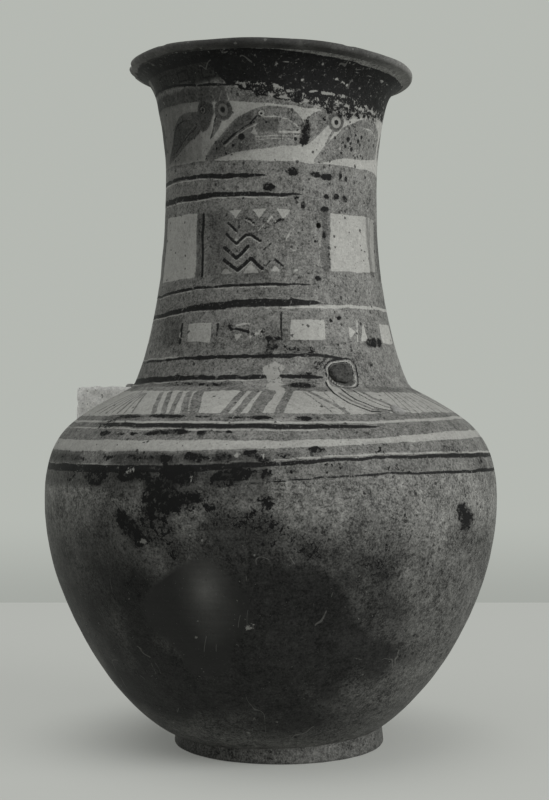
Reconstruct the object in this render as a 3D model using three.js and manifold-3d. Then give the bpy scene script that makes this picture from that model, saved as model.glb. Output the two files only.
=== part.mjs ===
// Hand-built pottery jar: low foot ring, round belly, tall neck with a turned-out rim,
// one broken handle lug behind the left shoulder and the scars of another at the front right.
// Millimetres, +Z up, the ground at z = 0, the front of the jar towards -Y.
import * as THREE from "three";
import { mergeVertices } from "three/addons/utils/BufferGeometryUtils.js";
import Module from "manifold-3d";

const wasm = await Module();
wasm.setup();

// Body outline, outside
const BASE_RADIUS = 50;
const BASE_HEIGHT = 5;
const BASE_SLOPE = 5.7;
const BELLY_RADIUS = 134.4;
const BELLY_HEIGHT = 144.9;
const NECK_BASE_RADIUS = 83.6;
const NECK_BASE_HEIGHT = 210.7;
const SHOULDER_SLOPE = 27.5;

// Neck and rim outline, outside
const NECK_CORNER_IN = 2.5;
const NECK_CORNER_UP = 2.9;
const NECK_SLOPE = 65.3;
const WAIST_RADIUS = 63.05;
const WAIST_HEIGHT = 332.7;
const THROAT_RADIUS = 68.2;
const THROAT_HEIGHT = 377.8;
const THROAT_SLOPE = 78.5;
const LIP_RADIUS = 84.4;
const LIP_HEIGHT = 400;
const LIP_SLOPE = 12;

// How strongly each curve follows its end directions, as a share of its own span
const BASE_PULL = 0.386;
const LOWER_BELLY_PULL = 0.453;
const UPPER_BELLY_PULL = 0.586;
const SHOULDER_PULL = 0.776;
const NECK_PULL = 0.283;
const WAIST_PULL = 0.309;
const FLARE_PULL = 0.333;
const THROAT_PULL = 0.494;
const LIP_PULL = 0.616;

// Wall thickness of the fired clay
const FLOOR_WALL = 9;
const BELLY_WALL = 7;
const NECK_WALL = 5;
const LIP_WALL = 4;

// Where one piece of clay was joined to the next
const BELLY_BAND_BELOW = 50;
const BELLY_BAND_ABOVE = 8;
const RIM_BAND_BELOW_THROAT = 33;
const LIP_BREADTH = 5;

// The rim stands a little higher on the left: rise for each millimetre sideways
const RIM_TILT = 0.036;

// Foot ring
const FOOT_OUTER_RADIUS = 62.5;
const FOOT_BREADTH = 14;
const FOOT_TAPER = 1.2;
const FOOT_EDGE = 1.5;
const FOOT_OFFSET = 4.8;

// Handle lug behind the left shoulder, with its nub
const STUMP_TURN = 12;
const STUMP_INSIDE_BELLY = 13.9;
const STUMP_ABOVE_NECK_BASE = 0.9;
const STUMP_START = 1;
const STUMP_THICKNESS = 14;
const STUMP_EDGE = 2;
const NUB_RADIUS = 3;
const NUB_HEIGHT = 2.6;
const NUB_FROM_NECK = 3.7;

// Scars of the lost handle, at the front right
const NECK_SCAR_TURN = 29;
const NECK_SCAR_ABOVE_NECK_BASE = 6.8;
const NECK_SCAR_RADIUS = 7;
const NECK_SCAR_PROUD = 1.6;
const SHOULDER_SCAR_TURN = 39.5;
const SHOULDER_SCAR_BELOW_NECK_BASE = 13.6;
const SHOULDER_SCAR_RADIUS = 4.5;
const SHOULDER_SCAR_PROUD = 1.4;
const SCAR_EDGE = 0.8;
const SCAR_ROOT = 12;

// Mend hole drilled through the neck
const HOLE_TURN = 24.8;
const HOLE_BELOW_WAIST = 31.7;
const HOLE_RADIUS = 1.6;

// Space left under a piece that is fitted to the finished surface
const SEAT_GAP = 0.3;

// Facets
const ROUND = 64;
const SMALL_ROUND = 20;
const CURVE_STEP = 18;
const FEWEST_STEPS = 6;
const LIP_STEPS = 6;
const EDGE_STEPS = 3;

// Vertices this close are one vertex
const SAME_POINT = 1e-3;

const FLAT = 180;
const UPRIGHT = 90;

// Finish of the fired clay
const CLAY_ROUGHNESS = 0.8;
const PALE_CLAY = 0x9a978e;
const GREY_SLIP = 0x66645f;
const DARK_CLAY = 0x45433f;

const radians = THREE.MathUtils.degToRad;

function clay(color) {
  return new THREE.MeshStandardMaterial({ color, roughness: CLAY_ROUGHNESS, metalness: 0 });
}

// A curve between two points, given the direction at each in degrees from +r towards +z
function sweep(start, startAngle, startPull, end, endAngle, endPull) {
  const from = new THREE.Vector2(...start);
  const to = new THREE.Vector2(...end);
  const leave = new THREE.Vector2(Math.cos(radians(startAngle)), Math.sin(radians(startAngle)));
  const arrive = new THREE.Vector2(Math.cos(radians(endAngle)), Math.sin(radians(endAngle)));
  return new THREE.CubicBezierCurve(
    from,
    from.clone().addScaledVector(leave, startPull),
    to.clone().addScaledVector(arrive, -endPull),
    to,
  );
}

// The rounded lip ends in a half circle round this centre
const LIP_CENTRE = new THREE.Vector2(LIP_RADIUS - LIP_WALL / 2, LIP_HEIGHT - LIP_WALL / 2);
const NECK_START_RADIUS = NECK_BASE_RADIUS - NECK_CORNER_IN;
const NECK_START_HEIGHT = NECK_BASE_HEIGHT + NECK_CORNER_UP;

// The outside of the jar, curve by curve from the base to the lip
function outlineCurves() {
  const lipAngle = radians(LIP_SLOPE);
  const underLip = [
    LIP_CENTRE.x + (Math.sin(lipAngle) * LIP_WALL) / 2,
    LIP_CENTRE.y - (Math.cos(lipAngle) * LIP_WALL) / 2,
  ];
  const base = [BASE_RADIUS, BASE_HEIGHT];
  const belly = [BELLY_RADIUS, BELLY_HEIGHT];
  const neckBase = [NECK_BASE_RADIUS, NECK_BASE_HEIGHT];
  const neckStart = [NECK_START_RADIUS, NECK_START_HEIGHT];
  const waist = [WAIST_RADIUS, WAIST_HEIGHT];
  const throat = [THROAT_RADIUS, THROAT_HEIGHT];
  const neckRise = WAIST_HEIGHT - NECK_START_HEIGHT;
  const flareRise = THROAT_HEIGHT - WAIST_HEIGHT;
  return [
    sweep(base, BASE_SLOPE, BASE_PULL * (BELLY_RADIUS - BASE_RADIUS),
      belly, UPRIGHT, LOWER_BELLY_PULL * (BELLY_HEIGHT - BASE_HEIGHT)),
    sweep(belly, UPRIGHT, UPPER_BELLY_PULL * (NECK_BASE_HEIGHT - BELLY_HEIGHT),
      neckBase, FLAT - SHOULDER_SLOPE, SHOULDER_PULL * (BELLY_RADIUS - NECK_BASE_RADIUS)),
    sweep(neckStart, FLAT - NECK_SLOPE, NECK_PULL * neckRise,
      waist, UPRIGHT, WAIST_PULL * neckRise),
    sweep(waist, UPRIGHT, FLARE_PULL * flareRise,
      throat, THROAT_SLOPE, FLARE_PULL * flareRise),
    sweep(throat, THROAT_SLOPE, THROAT_PULL * (underLip[1] - THROAT_HEIGHT),
      underLip, LIP_SLOPE, LIP_PULL * (underLip[0] - THROAT_RADIUS)),
  ];
}

// Thickness of the wall at a height of the outside
function wallAt(height) {
  const heights = [BASE_HEIGHT, BELLY_HEIGHT, WAIST_HEIGHT, LIP_HEIGHT - LIP_WALL];
  const walls = [FLOOR_WALL, BELLY_WALL, NECK_WALL, LIP_WALL];
  const upper = heights.findIndex((h) => height < h);
  if (upper < 0) return LIP_WALL;
  if (upper === 0) return FLOOR_WALL;
  const share = (height - heights[upper - 1]) / (heights[upper] - heights[upper - 1]);
  return THREE.MathUtils.lerp(walls[upper - 1], walls[upper], share);
}

// The outline moved along its normals by a distance that depends on the height
function outlineMoved(distanceAt) {
  const line = [];
  for (const curve of outlineCurves()) {
    const steps = Math.max(FEWEST_STEPS, Math.ceil(curve.getLength() / CURVE_STEP));
    for (let i = 0; i <= steps; i++) {
      const point = curve.getPoint(i / steps);
      const along = curve.getTangent(i / steps);
      const inward = new THREE.Vector2(-along.y, along.x);
      point.addScaledVector(inward, distanceAt(point.y));
      const last = line[line.length - 1];
      if (!last || point.distanceTo(last) > SAME_POINT) line.push(point);
    }
  }
  return line;
}

const OUTSIDE = outlineMoved(() => 0);
const INSIDE = outlineMoved(wallAt);

// The stretch of a line where one coordinate runs between two values, cut exactly there
function stretch(line, key, low, high) {
  const kept = [];
  line.forEach((point, i) => {
    if (i > 0) {
      const before = line[i - 1];
      for (const value of [low, high]) {
        if (before[key] < value && point[key] > value) {
          const share = (value - before[key]) / (point[key] - before[key]);
          kept.push(before.clone().lerp(point, share));
          kept[kept.length - 1][key] = value;
        }
      }
    }
    if (point[key] >= low && point[key] <= high) kept.push(point.clone());
  });
  return kept;
}

// The rim's tilt comes in gradually from the neck base up, and keeps level cuts flat
function leanAt(height) {
  return RIM_TILT * THREE.MathUtils.smoothstep(height, NECK_BASE_HEIGHT, LIP_HEIGHT);
}

function lean(geometry) {
  const place = geometry.getAttribute("position");
  for (let i = 0; i < place.count; i++) {
    place.setZ(i, place.getZ(i) - leanAt(place.getZ(i)) * place.getX(i));
  }
  return geometry;
}

// A ring or disc turned from an outline that is listed upwards on its outer side
function turned(outline, facets = ROUND) {
  return new THREE.LatheGeometry(outline, facets).rotateX(Math.PI / 2);
}

function closedRing(outer, inner) {
  const outline = [...outer, ...inner.reverse()];
  outline.push(outline[0].clone());
  return turned(outline);
}

// Booleans between closed geometries
function solid(geometry) {
  const bare = geometry.clone();
  bare.deleteAttribute("normal");
  bare.deleteAttribute("uv");
  const merged = mergeVertices(bare, SAME_POINT);
  return new wasm.Manifold(
    new wasm.Mesh({
      numProp: 3,
      vertProperties: merged.getAttribute("position").array,
      triVerts: new Uint32Array(merged.index.array),
    }),
  );
}

function geometryOf(manifold) {
  const mesh = manifold.getMesh();
  const geometry = new THREE.BufferGeometry();
  geometry.setAttribute("position", new THREE.BufferAttribute(mesh.vertProperties, 3));
  geometry.setIndex(new THREE.BufferAttribute(mesh.triVerts, 1));
  geometry.computeVertexNormals();
  return geometry;
}

// The whole jar filled in and grown by the seat gap, used to fit pieces to its surface
const SKIN = solid(lean(turned([
  new THREE.Vector2(0, BASE_HEIGHT - SEAT_GAP),
  ...outlineMoved(() => -SEAT_GAP),
  new THREE.Vector2(0, LIP_HEIGHT),
])));

function fittedToJar(geometry) {
  return geometryOf(solid(geometry).subtract(SKIN));
}

// Radius and slope of the outside at a height
function outsideAt(height) {
  const upper = OUTSIDE.findIndex((point) => point.y > height);
  const below = OUTSIDE[upper - 1];
  const above = OUTSIDE[upper];
  const share = (height - below.y) / (above.y - below.y);
  return {
    radius: THREE.MathUtils.lerp(below.x, above.x, share),
    slope: Math.atan2(above.y - below.y, above.x - below.x),
  };
}

// Walls of the jar
const BELLY_BAND_LOW = BELLY_HEIGHT - BELLY_BAND_BELOW;
const BELLY_BAND_HIGH = BELLY_HEIGHT + BELLY_BAND_ABOVE;
const RIM_SEAM = THROAT_HEIGHT - RIM_BAND_BELOW_THROAT;
const LIP_SEAM_RADIUS = LIP_RADIUS - LIP_BREADTH;

function wallBand(low, high) {
  return lean(closedRing(stretch(OUTSIDE, "y", low, high), stretch(INSIDE, "y", low, high)));
}

// The point of a line under the belly where it reaches a radius
function underBelly(line, radius) {
  return stretch(line.filter((point) => point.y < BELLY_HEIGHT), "x", radius, BELLY_RADIUS)[0];
}

function baseDisc() {
  const edge = underBelly(INSIDE, BASE_RADIUS);
  return turned([
    new THREE.Vector2(0, BASE_HEIGHT),
    new THREE.Vector2(BASE_RADIUS, BASE_HEIGHT),
    edge,
    new THREE.Vector2(0, edge.y),
  ]);
}

function lowerWall() {
  const edge = underBelly(INSIDE, BASE_RADIUS);
  const outer = stretch(OUTSIDE, "y", BASE_HEIGHT, BELLY_BAND_LOW);
  const inner = stretch(INSIDE, "y", edge.y, BELLY_BAND_LOW);
  inner[0] = edge;
  return closedRing(outer, inner);
}

function neckWall() {
  const wall = solid(wallBand(NECK_BASE_HEIGHT, RIM_SEAM));
  const height = WAIST_HEIGHT - HOLE_BELOW_WAIST;
  const drill = new THREE.CylinderGeometry(HOLE_RADIUS, HOLE_RADIUS, WAIST_RADIUS, SMALL_ROUND);
  drill.translate(0, -outsideAt(height).radius, 0);
  drill.rotateZ(radians(HOLE_TURN));
  drill.translate(0, 0, height);
  return geometryOf(wall.subtract(solid(drill)));
}

function rimFlare() {
  const above = (line) => stretch(line, "y", RIM_SEAM, LIP_HEIGHT);
  const toLip = (line) => stretch(above(line), "x", 0, LIP_SEAM_RADIUS);
  return lean(closedRing(toLip(OUTSIDE), toLip(INSIDE)));
}

function lipCoil() {
  const above = (line) => stretch(line, "y", RIM_SEAM, LIP_HEIGHT);
  const beyond = (line) => stretch(above(line), "x", LIP_SEAM_RADIUS, LIP_RADIUS);
  const edge = [];
  for (let i = 1; i < LIP_STEPS; i++) {
    const angle = radians(LIP_SLOPE - UPRIGHT + (FLAT * i) / LIP_STEPS);
    const out = new THREE.Vector2(Math.cos(angle), Math.sin(angle));
    edge.push(LIP_CENTRE.clone().addScaledVector(out, LIP_WALL / 2));
  }
  return lean(closedRing([...beyond(OUTSIDE), ...edge], beyond(INSIDE)));
}

// Foot ring, a little to the right of the middle
function footRing() {
  const top = underBelly(OUTSIDE, FOOT_OUTER_RADIUS + FOOT_OFFSET).y;
  const inner = FOOT_OUTER_RADIUS - FOOT_BREADTH;
  const ring = closedRing(
    [
      new THREE.Vector2(FOOT_OUTER_RADIUS - FOOT_EDGE, 0),
      new THREE.Vector2(FOOT_OUTER_RADIUS, FOOT_EDGE),
      new THREE.Vector2(FOOT_OUTER_RADIUS - FOOT_TAPER, top),
    ],
    [
      new THREE.Vector2(inner + FOOT_EDGE, 0),
      new THREE.Vector2(inner, FOOT_EDGE),
      new THREE.Vector2(inner, top),
    ],
  );
  return fittedToJar(ring.translate(FOOT_OFFSET, 0, 0));
}

// Handle lug: a square-shouldered slab standing out from the neck base over the shoulder
const STUMP_TOP = NECK_BASE_HEIGHT + STUMP_ABOVE_NECK_BASE;
const STUMP_AZIMUTH = FLAT - STUMP_TURN;

function handleStump() {
  const near = NECK_BASE_RADIUS + STUMP_START + STUMP_EDGE;
  const far = BELLY_RADIUS - STUMP_INSIDE_BELLY - STUMP_EDGE;
  const top = STUMP_TOP - STUMP_EDGE;
  const side = new THREE.Shape();
  side.moveTo(near, BELLY_HEIGHT);
  side.lineTo(far, BELLY_HEIGHT);
  side.lineTo(far, top - STUMP_EDGE);
  side.quadraticCurveTo(far, top, far - STUMP_EDGE, top);
  side.lineTo(near, top);
  side.closePath();
  const slab = new THREE.ExtrudeGeometry(side, {
    depth: STUMP_THICKNESS - 2 * STUMP_EDGE,
    bevelThickness: STUMP_EDGE,
    bevelSize: STUMP_EDGE,
    bevelSegments: EDGE_STEPS,
    curveSegments: EDGE_STEPS,
  });
  slab.translate(0, 0, STUMP_EDGE - STUMP_THICKNESS / 2);
  slab.rotateX(Math.PI / 2);
  slab.rotateZ(radians(STUMP_AZIMUTH));
  return fittedToJar(slab);
}

// A low round pad that lies on the XY plane and stands up along +Z
function pad(radius, height, depth) {
  return turned([
    new THREE.Vector2(0, -depth),
    new THREE.Vector2(radius, -depth),
    new THREE.Vector2(radius, height - SCAR_EDGE),
    new THREE.Vector2(radius - SCAR_EDGE, height),
    new THREE.Vector2(0, height),
  ], SMALL_ROUND);
}

function stumpNub() {
  const outline = [new THREE.Vector2(0, 0), new THREE.Vector2(NUB_RADIUS, 0)];
  for (let i = 1; i <= LIP_STEPS; i++) {
    const angle = radians((UPRIGHT * i) / LIP_STEPS);
    const radius = i === LIP_STEPS ? 0 : NUB_RADIUS * Math.cos(angle);
    outline.push(new THREE.Vector2(radius, NUB_HEIGHT * Math.sin(angle)));
  }
  const nub = turned(outline, SMALL_ROUND);
  nub.translate(NECK_BASE_RADIUS + STUMP_START + NUB_FROM_NECK, 0, STUMP_TOP + SEAT_GAP);
  return nub.rotateZ(radians(STUMP_AZIMUTH));
}

// A scar on the jar's surface at a height and a turn to the right of the front
function scar(turn, height, radius, proud) {
  const place = outsideAt(height);
  const geometry = pad(radius, proud + SEAT_GAP, SCAR_ROOT);
  geometry.rotateY(Math.PI - place.slope);
  geometry.translate(place.radius, 0, height);
  geometry.rotateZ(radians(turn - UPRIGHT));
  return fittedToJar(geometry);
}

const PIECES = {
  foot_ring: [footRing, DARK_CLAY],
  base_disc: [baseDisc, DARK_CLAY],
  lower_wall: [lowerWall, DARK_CLAY],
  belly_wall: [() => wallBand(BELLY_BAND_LOW, BELLY_BAND_HIGH), DARK_CLAY],
  shoulder_wall: [() => wallBand(BELLY_BAND_HIGH, NECK_BASE_HEIGHT), GREY_SLIP],
  neck_wall: [neckWall, GREY_SLIP],
  rim_flare: [rimFlare, GREY_SLIP],
  lip_coil: [lipCoil, PALE_CLAY],
  handle_stump: [handleStump, PALE_CLAY],
  stump_nub: [stumpNub, PALE_CLAY],
  neck_handle_scar: [
    () => scar(NECK_SCAR_TURN, NECK_BASE_HEIGHT + NECK_SCAR_ABOVE_NECK_BASE,
      NECK_SCAR_RADIUS, NECK_SCAR_PROUD),
    DARK_CLAY,
  ],
  shoulder_handle_scar: [
    () => scar(SHOULDER_SCAR_TURN, NECK_BASE_HEIGHT - SHOULDER_SCAR_BELOW_NECK_BASE,
      SHOULDER_SCAR_RADIUS, SHOULDER_SCAR_PROUD),
    PALE_CLAY,
  ],
};

const jar = new THREE.Group();
for (const [name, [build, color]] of Object.entries(PIECES)) {
  const mesh = new THREE.Mesh(build(), clay(color));
  mesh.name = name;
  jar.add(mesh);
}

export default jar;
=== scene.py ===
# Hand-built pottery jar with a painted neck and shoulder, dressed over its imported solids.
# Metres in the scene, millimetres and degrees in the painting, +Z up, the front towards -Y.
import math

import bmesh
import bpy
import numpy as np
from mathutils import Matrix, Vector
from mathutils.geometry import interpolate_bezier


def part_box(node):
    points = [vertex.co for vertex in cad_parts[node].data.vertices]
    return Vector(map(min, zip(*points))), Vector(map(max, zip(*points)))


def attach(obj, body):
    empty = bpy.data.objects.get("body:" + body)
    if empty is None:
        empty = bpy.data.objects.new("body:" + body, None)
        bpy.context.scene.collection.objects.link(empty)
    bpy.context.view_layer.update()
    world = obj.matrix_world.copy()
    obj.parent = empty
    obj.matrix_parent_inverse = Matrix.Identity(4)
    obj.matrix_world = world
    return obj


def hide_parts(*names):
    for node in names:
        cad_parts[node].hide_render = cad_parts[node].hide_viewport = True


bl_info = {
    "name": "Painted pottery jar",
    "version": (1, 0, 0),
    "blender": (4, 5, 0),
    "location": "3D View > Sidebar > Jar",
    "description": "Builds a hand-made jar with a painted neck, piece by piece",
    "category": "Object",
}

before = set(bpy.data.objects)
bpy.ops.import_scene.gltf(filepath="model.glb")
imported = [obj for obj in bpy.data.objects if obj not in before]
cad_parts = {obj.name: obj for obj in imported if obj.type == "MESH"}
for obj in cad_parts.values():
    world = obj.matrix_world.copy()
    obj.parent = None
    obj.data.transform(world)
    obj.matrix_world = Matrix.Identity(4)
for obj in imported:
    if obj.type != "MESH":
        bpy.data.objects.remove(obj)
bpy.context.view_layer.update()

# Outline of the body, outside
BASE_RADIUS = 0.050
BASE_HEIGHT = 0.005
BASE_SLOPE = 5.7
BELLY_RADIUS = 0.1344
BELLY_HEIGHT = 0.1449
NECK_BASE_RADIUS = 0.0836
NECK_BASE_HEIGHT = 0.2107
SHOULDER_SLOPE = 27.5

# Outline of the neck and rim, outside
NECK_CORNER_IN = 0.0025
NECK_CORNER_UP = 0.0029
NECK_SLOPE = 65.3
WAIST_RADIUS = 0.06305
WAIST_HEIGHT = 0.3327
THROAT_RADIUS = 0.0682
THROAT_HEIGHT = 0.3778
THROAT_SLOPE = 78.5
LIP_RADIUS = 0.0844
LIP_HEIGHT = 0.400
LIP_SLOPE = 12

# How strongly each curve follows its end directions, as a share of its own span
BASE_PULL = 0.386
LOWER_BELLY_PULL = 0.453
UPPER_BELLY_PULL = 0.586
SHOULDER_PULL = 0.776
NECK_PULL = 0.283
WAIST_PULL = 0.309
FLARE_PULL = 0.333
THROAT_PULL = 0.494
LIP_PULL = 0.616

# Thickness of the fired clay
FLOOR_WALL = 0.009
BELLY_WALL = 0.007
NECK_WALL = 0.005
LIP_WALL = 0.004

# Where one piece of clay was joined to the next
BELLY_BAND_BELOW = 0.050
BELLY_BAND_ABOVE = 0.008
RIM_BAND_BELOW_THROAT = 0.033
LIP_BREADTH = 0.005

# The rim stands a little higher on the left: rise for each metre sideways
RIM_TILT = 0.036

# Foot ring
FOOT_OUTER_RADIUS = 0.0625
FOOT_BREADTH = 0.014
FOOT_TAPER = 0.0012
FOOT_EDGE = 0.0015
FOOT_OFFSET = 0.0048

# Handle lug behind the left shoulder, with its nub
STUMP_TURN = -102
STUMP_NEAR = 0.0846
STUMP_FAR = 0.1205
STUMP_TOP = 0.2116
STUMP_BOTTOM = 0.176
STUMP_THICKNESS = 0.014
STUMP_EDGE = 0.002
STUMP_ROOT = 0.002
NUB_RADIUS = 0.003
NUB_HEIGHT = 0.0026
NUB_AT = 0.0883

# Scars of the lost handle: turn to the right of the front, height, radius, how far it stands out,
# and its height up the wall as a share of its breadth
NECK_SCAR = (29, 0.2175, 0.007, 0.0016, 0.82)
SHOULDER_SCAR = (39.5, 0.1971, 0.0045, 0.0014, 1)
SCAR_EDGE = 0.0008
SCAR_ROOT = 0.0025
SCAR_DARKENING = 0.8

# The scars' tops are divided into rings: their spacing, and how many there are for each metre of radius
SCAR_STEP = 0.0007
SCAR_DENSITY = 900

# Chips in the lip: turn, height, reach and depth
LIP_CHIPS = (
    (-82, 0.4005, 0.008, 0.0013), (-96, 0.402, 0.006, 0.0009), (-47, 0.4, 0.005, 0.0004),
    (31, 0.399, 0.004, 0.0004), (118, 0.396, 0.008, 0.001), (205, 0.4, 0.006, 0.0008),
)

# Mend hole drilled through the neck
HOLE_TURN = 24.8
HOLE_HEIGHT = 0.301
HOLE_RADIUS = 0.0016
HOLE_FACETS = 24

# How finely the surfaces are divided
CURVE_POINTS = 240
NECK_ROUND = 480
SHOULDER_ROUND = 640
RIM_ROUND = 512
BODY_ROUND = 256
SCAR_ROUND = 48
LIP_STEPS = 12
FOOT_SEGMENTS = 4
EDGE_SEGMENTS = 3
LUG_CUTS = 14
NUB_SEGMENTS = 32
NUB_RINGS = 20
FLOOR_CELLS = 8
FINE_STEP = 0.0008
SHOULDER_STEP = 0.00095
BODY_STEP = 0.0022
INSIDE_STEP = 0.008
WEDGES = 16
SAME_POINT = 1e-6
SHARP_EDGE = math.radians(50)

# Distance given to a painted field where nothing is near, in millimetres
FAR = 6.0

# Millimetres in a metre
MM = 1000

# How far from a motif its brush reaches, and a distance beyond all of them, in millimetres
BRUSH_REACH = 70
STAIN_REACH = 90
OUT_OF_REACH = 1000.0

# Least square of a stroke's length, so that nothing is divided by zero
LEAST_SQUARE = 1e-9

# Height on the lip, in millimetres, up to which the rim's black paint runs
LIP_SEAM_HEIGHT = 395.4

# Strength of the shine of fired clay and slip
GLOSS = 0.16

# Depth of each finish's grain and specks
PAINTED_RELIEF = 0.00022
BURNISHED_RELIEF = 0.00025
LIP_RELIEF = 0.0002
LUG_RELIEF = 0.0003
BREAK_RELIEF = 0.0008

# Most watts that a light can be set to
MOST_POWER = 1000


def smoothstep(value, low, high):
    """0 below low, 1 above high, and smooth between them."""
    share = np.clip((value - low) / (high - low), 0, 1)
    return share * share * (3 - 2 * share)


# Outline

LIP_CENTRE = Vector((LIP_RADIUS - LIP_WALL / 2, LIP_HEIGHT - LIP_WALL / 2))
RIM_SEAM = THROAT_HEIGHT - RIM_BAND_BELOW_THROAT
LIP_SEAM_RADIUS = LIP_RADIUS - LIP_BREADTH
BELLY_BAND_LOW = BELLY_HEIGHT - BELLY_BAND_BELOW
BELLY_BAND_HIGH = BELLY_HEIGHT + BELLY_BAND_ABOVE


def heading(angle, length):
    """A step of that length, at an angle in degrees from +radius towards +height."""
    turn = math.radians(angle)
    return Vector((math.cos(turn), math.sin(turn))) * length


def sweep(start, start_angle, start_pull, end, end_angle, end_pull):
    """Points of a curve between two outline points, given its direction and pull at each."""
    start, end = Vector(start), Vector(end)
    leave = start + heading(start_angle, start_pull)
    arrive = end - heading(end_angle, end_pull)
    return [p.xy for p in interpolate_bezier(start, leave, arrive, end, CURVE_POINTS)]


def measured(points):
    """The points with the distance along their line as a third column."""
    steps = np.hypot(*np.diff(points, axis=0).T)
    return np.column_stack([points, np.append(0, np.cumsum(steps))])


def outside_line():
    """The jar's outside from the base to the lip: radius, height and distance along it."""
    under_lip = LIP_CENTRE + heading(LIP_SLOPE - 90, LIP_WALL / 2)
    neck_start = (NECK_BASE_RADIUS - NECK_CORNER_IN, NECK_BASE_HEIGHT + NECK_CORNER_UP)
    base = (BASE_RADIUS, BASE_HEIGHT)
    belly = (BELLY_RADIUS, BELLY_HEIGHT)
    neck_base = (NECK_BASE_RADIUS, NECK_BASE_HEIGHT)
    waist = (WAIST_RADIUS, WAIST_HEIGHT)
    throat = (THROAT_RADIUS, THROAT_HEIGHT)
    neck_rise = WAIST_HEIGHT - neck_start[1]
    flare_rise = THROAT_HEIGHT - WAIST_HEIGHT
    curves = [
        sweep(base, BASE_SLOPE, BASE_PULL * (BELLY_RADIUS - BASE_RADIUS),
              belly, 90, LOWER_BELLY_PULL * (BELLY_HEIGHT - BASE_HEIGHT)),
        sweep(belly, 90, UPPER_BELLY_PULL * (NECK_BASE_HEIGHT - BELLY_HEIGHT),
              neck_base, 180 - SHOULDER_SLOPE,
              SHOULDER_PULL * (BELLY_RADIUS - NECK_BASE_RADIUS)),
        sweep(neck_start, 180 - NECK_SLOPE, NECK_PULL * neck_rise,
              waist, 90, WAIST_PULL * neck_rise),
        sweep(waist, 90, FLARE_PULL * flare_rise, throat, THROAT_SLOPE, FLARE_PULL * flare_rise),
        sweep(throat, THROAT_SLOPE, THROAT_PULL * (under_lip.y - THROAT_HEIGHT),
              under_lip, LIP_SLOPE, LIP_PULL * (under_lip.x - THROAT_RADIUS)),
    ]
    points = [point for curve in curves for point in curve]
    apart = [points[0]] + [b for a, b in zip(points, points[1:]) if (b - a).length > SAME_POINT]
    return measured(np.array(apart))


def inside_line(outside):
    """The outside moved inwards by the thickness of the wall."""
    walls = np.interp(
        outside[:, 1],
        [BASE_HEIGHT, BELLY_HEIGHT, WAIST_HEIGHT, LIP_HEIGHT - LIP_WALL],
        [FLOOR_WALL, BELLY_WALL, NECK_WALL, LIP_WALL],
    )
    along = np.gradient(outside[:, :2], axis=0)
    along /= np.linalg.norm(along, axis=1)[:, None]
    inward = np.column_stack([-along[:, 1], along[:, 0]])
    moved = outside[:, :2] + inward * walls[:, None]
    moved[:, 1] = np.maximum.accumulate(moved[:, 1])
    return measured(moved)


OUTSIDE = outside_line()
INSIDE = inside_line(OUTSIDE)


def at_height(line, height):
    """Distance along a line where it reaches a height."""
    return float(np.interp(height, line[:, 1], line[:, 2]))


def at_radius(line, radius, low, high):
    """Distance along a line where it widens to a radius between two heights."""
    part = line[(line[:, 1] >= low) & (line[:, 1] <= high)]
    return float(np.interp(radius, part[:, 0], part[:, 2]))


def stretch(line, start, end, step):
    """Evenly spaced (radius, height) points of a line between two distances along it."""
    count = max(2, math.ceil((end - start) / step) + 1)
    at = np.linspace(start, end, count)
    radii = np.interp(at, line[:, 2], line[:, 0])
    heights = np.interp(at, line[:, 2], line[:, 1])
    return list(zip(radii.tolist(), heights.tolist()))


def radius_at(height):
    """Radius of the outside at a height."""
    return np.interp(height, OUTSIDE[:, 1], OUTSIDE[:, 0])


def slope_at(height):
    """Direction of the outside at a height, in radians from +radius towards +height."""
    low, high = height - FINE_STEP, height + FINE_STEP
    return math.atan2(high - low, float(radius_at(high) - radius_at(low)))


def lean_at(height):
    """The rim's tilt comes in gradually from the neck base up."""
    return RIM_TILT * smoothstep(height, NECK_BASE_HEIGHT, LIP_HEIGHT)


# Meshes


def points_of(mesh):
    """The mesh's vertices as rows of x, y, z."""
    flat = np.empty(len(mesh.vertices) * 3)
    mesh.vertices.foreach_get("co", flat)
    return flat.reshape(-1, 3)


def move_points(mesh, points):
    """Gives the mesh's vertices new places."""
    mesh.vertices.foreach_set("co", points.ravel())
    mesh.update()


def mesh_from(bm, name):
    """A mesh of the finished bmesh, its doubles merged and its faces turned outwards."""
    bmesh.ops.remove_doubles(bm, verts=bm.verts, dist=SAME_POINT)
    bmesh.ops.recalc_face_normals(bm, faces=bm.faces)
    mesh = bpy.data.meshes.new(name)
    bm.to_mesh(mesh)
    bm.free()
    return mesh


def turned(profile, facets, closed=True):
    """A ring or disc spun from (radius, height) points round the jar's axis, wedge by wedge."""
    bm = bmesh.new()
    verts = [bm.verts.new((radius, 0, height)) for radius, height in profile]
    pairs = list(zip(verts, verts[1:]))
    if closed:
        pairs.append((verts[-1], verts[0]))
    edges = [bm.edges.new(pair) for pair in pairs]
    bmesh.ops.spin(bm, geom=verts + edges, cent=(0, 0, 0), axis=(0, 0, 1), dvec=(0, 0, 0),
                   angle=math.tau / WEDGES, steps=facets // WEDGES, use_merge=False, use_duplicate=False)
    wedges = 1
    while wedges < WEDGES:
        copied = bmesh.ops.duplicate(bm, geom=bm.verts[:] + bm.edges[:] + bm.faces[:])["geom"]
        turn = Matrix.Rotation(math.tau * wedges / WEDGES, 3, "Z")
        moved = [part for part in copied if isinstance(part, bmesh.types.BMVert)]
        bmesh.ops.rotate(bm, verts=moved, cent=(0, 0, 0), matrix=turn)
        wedges *= 2
    bmesh.ops.remove_doubles(bm, verts=bm.verts, dist=SAME_POINT)
    return bm


def lean(mesh):
    """Tilts the neck and rim as the solids are, higher on the left."""
    points = points_of(mesh)
    points[:, 2] -= lean_at(points[:, 2]) * points[:, 0]
    move_points(mesh, points)


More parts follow.
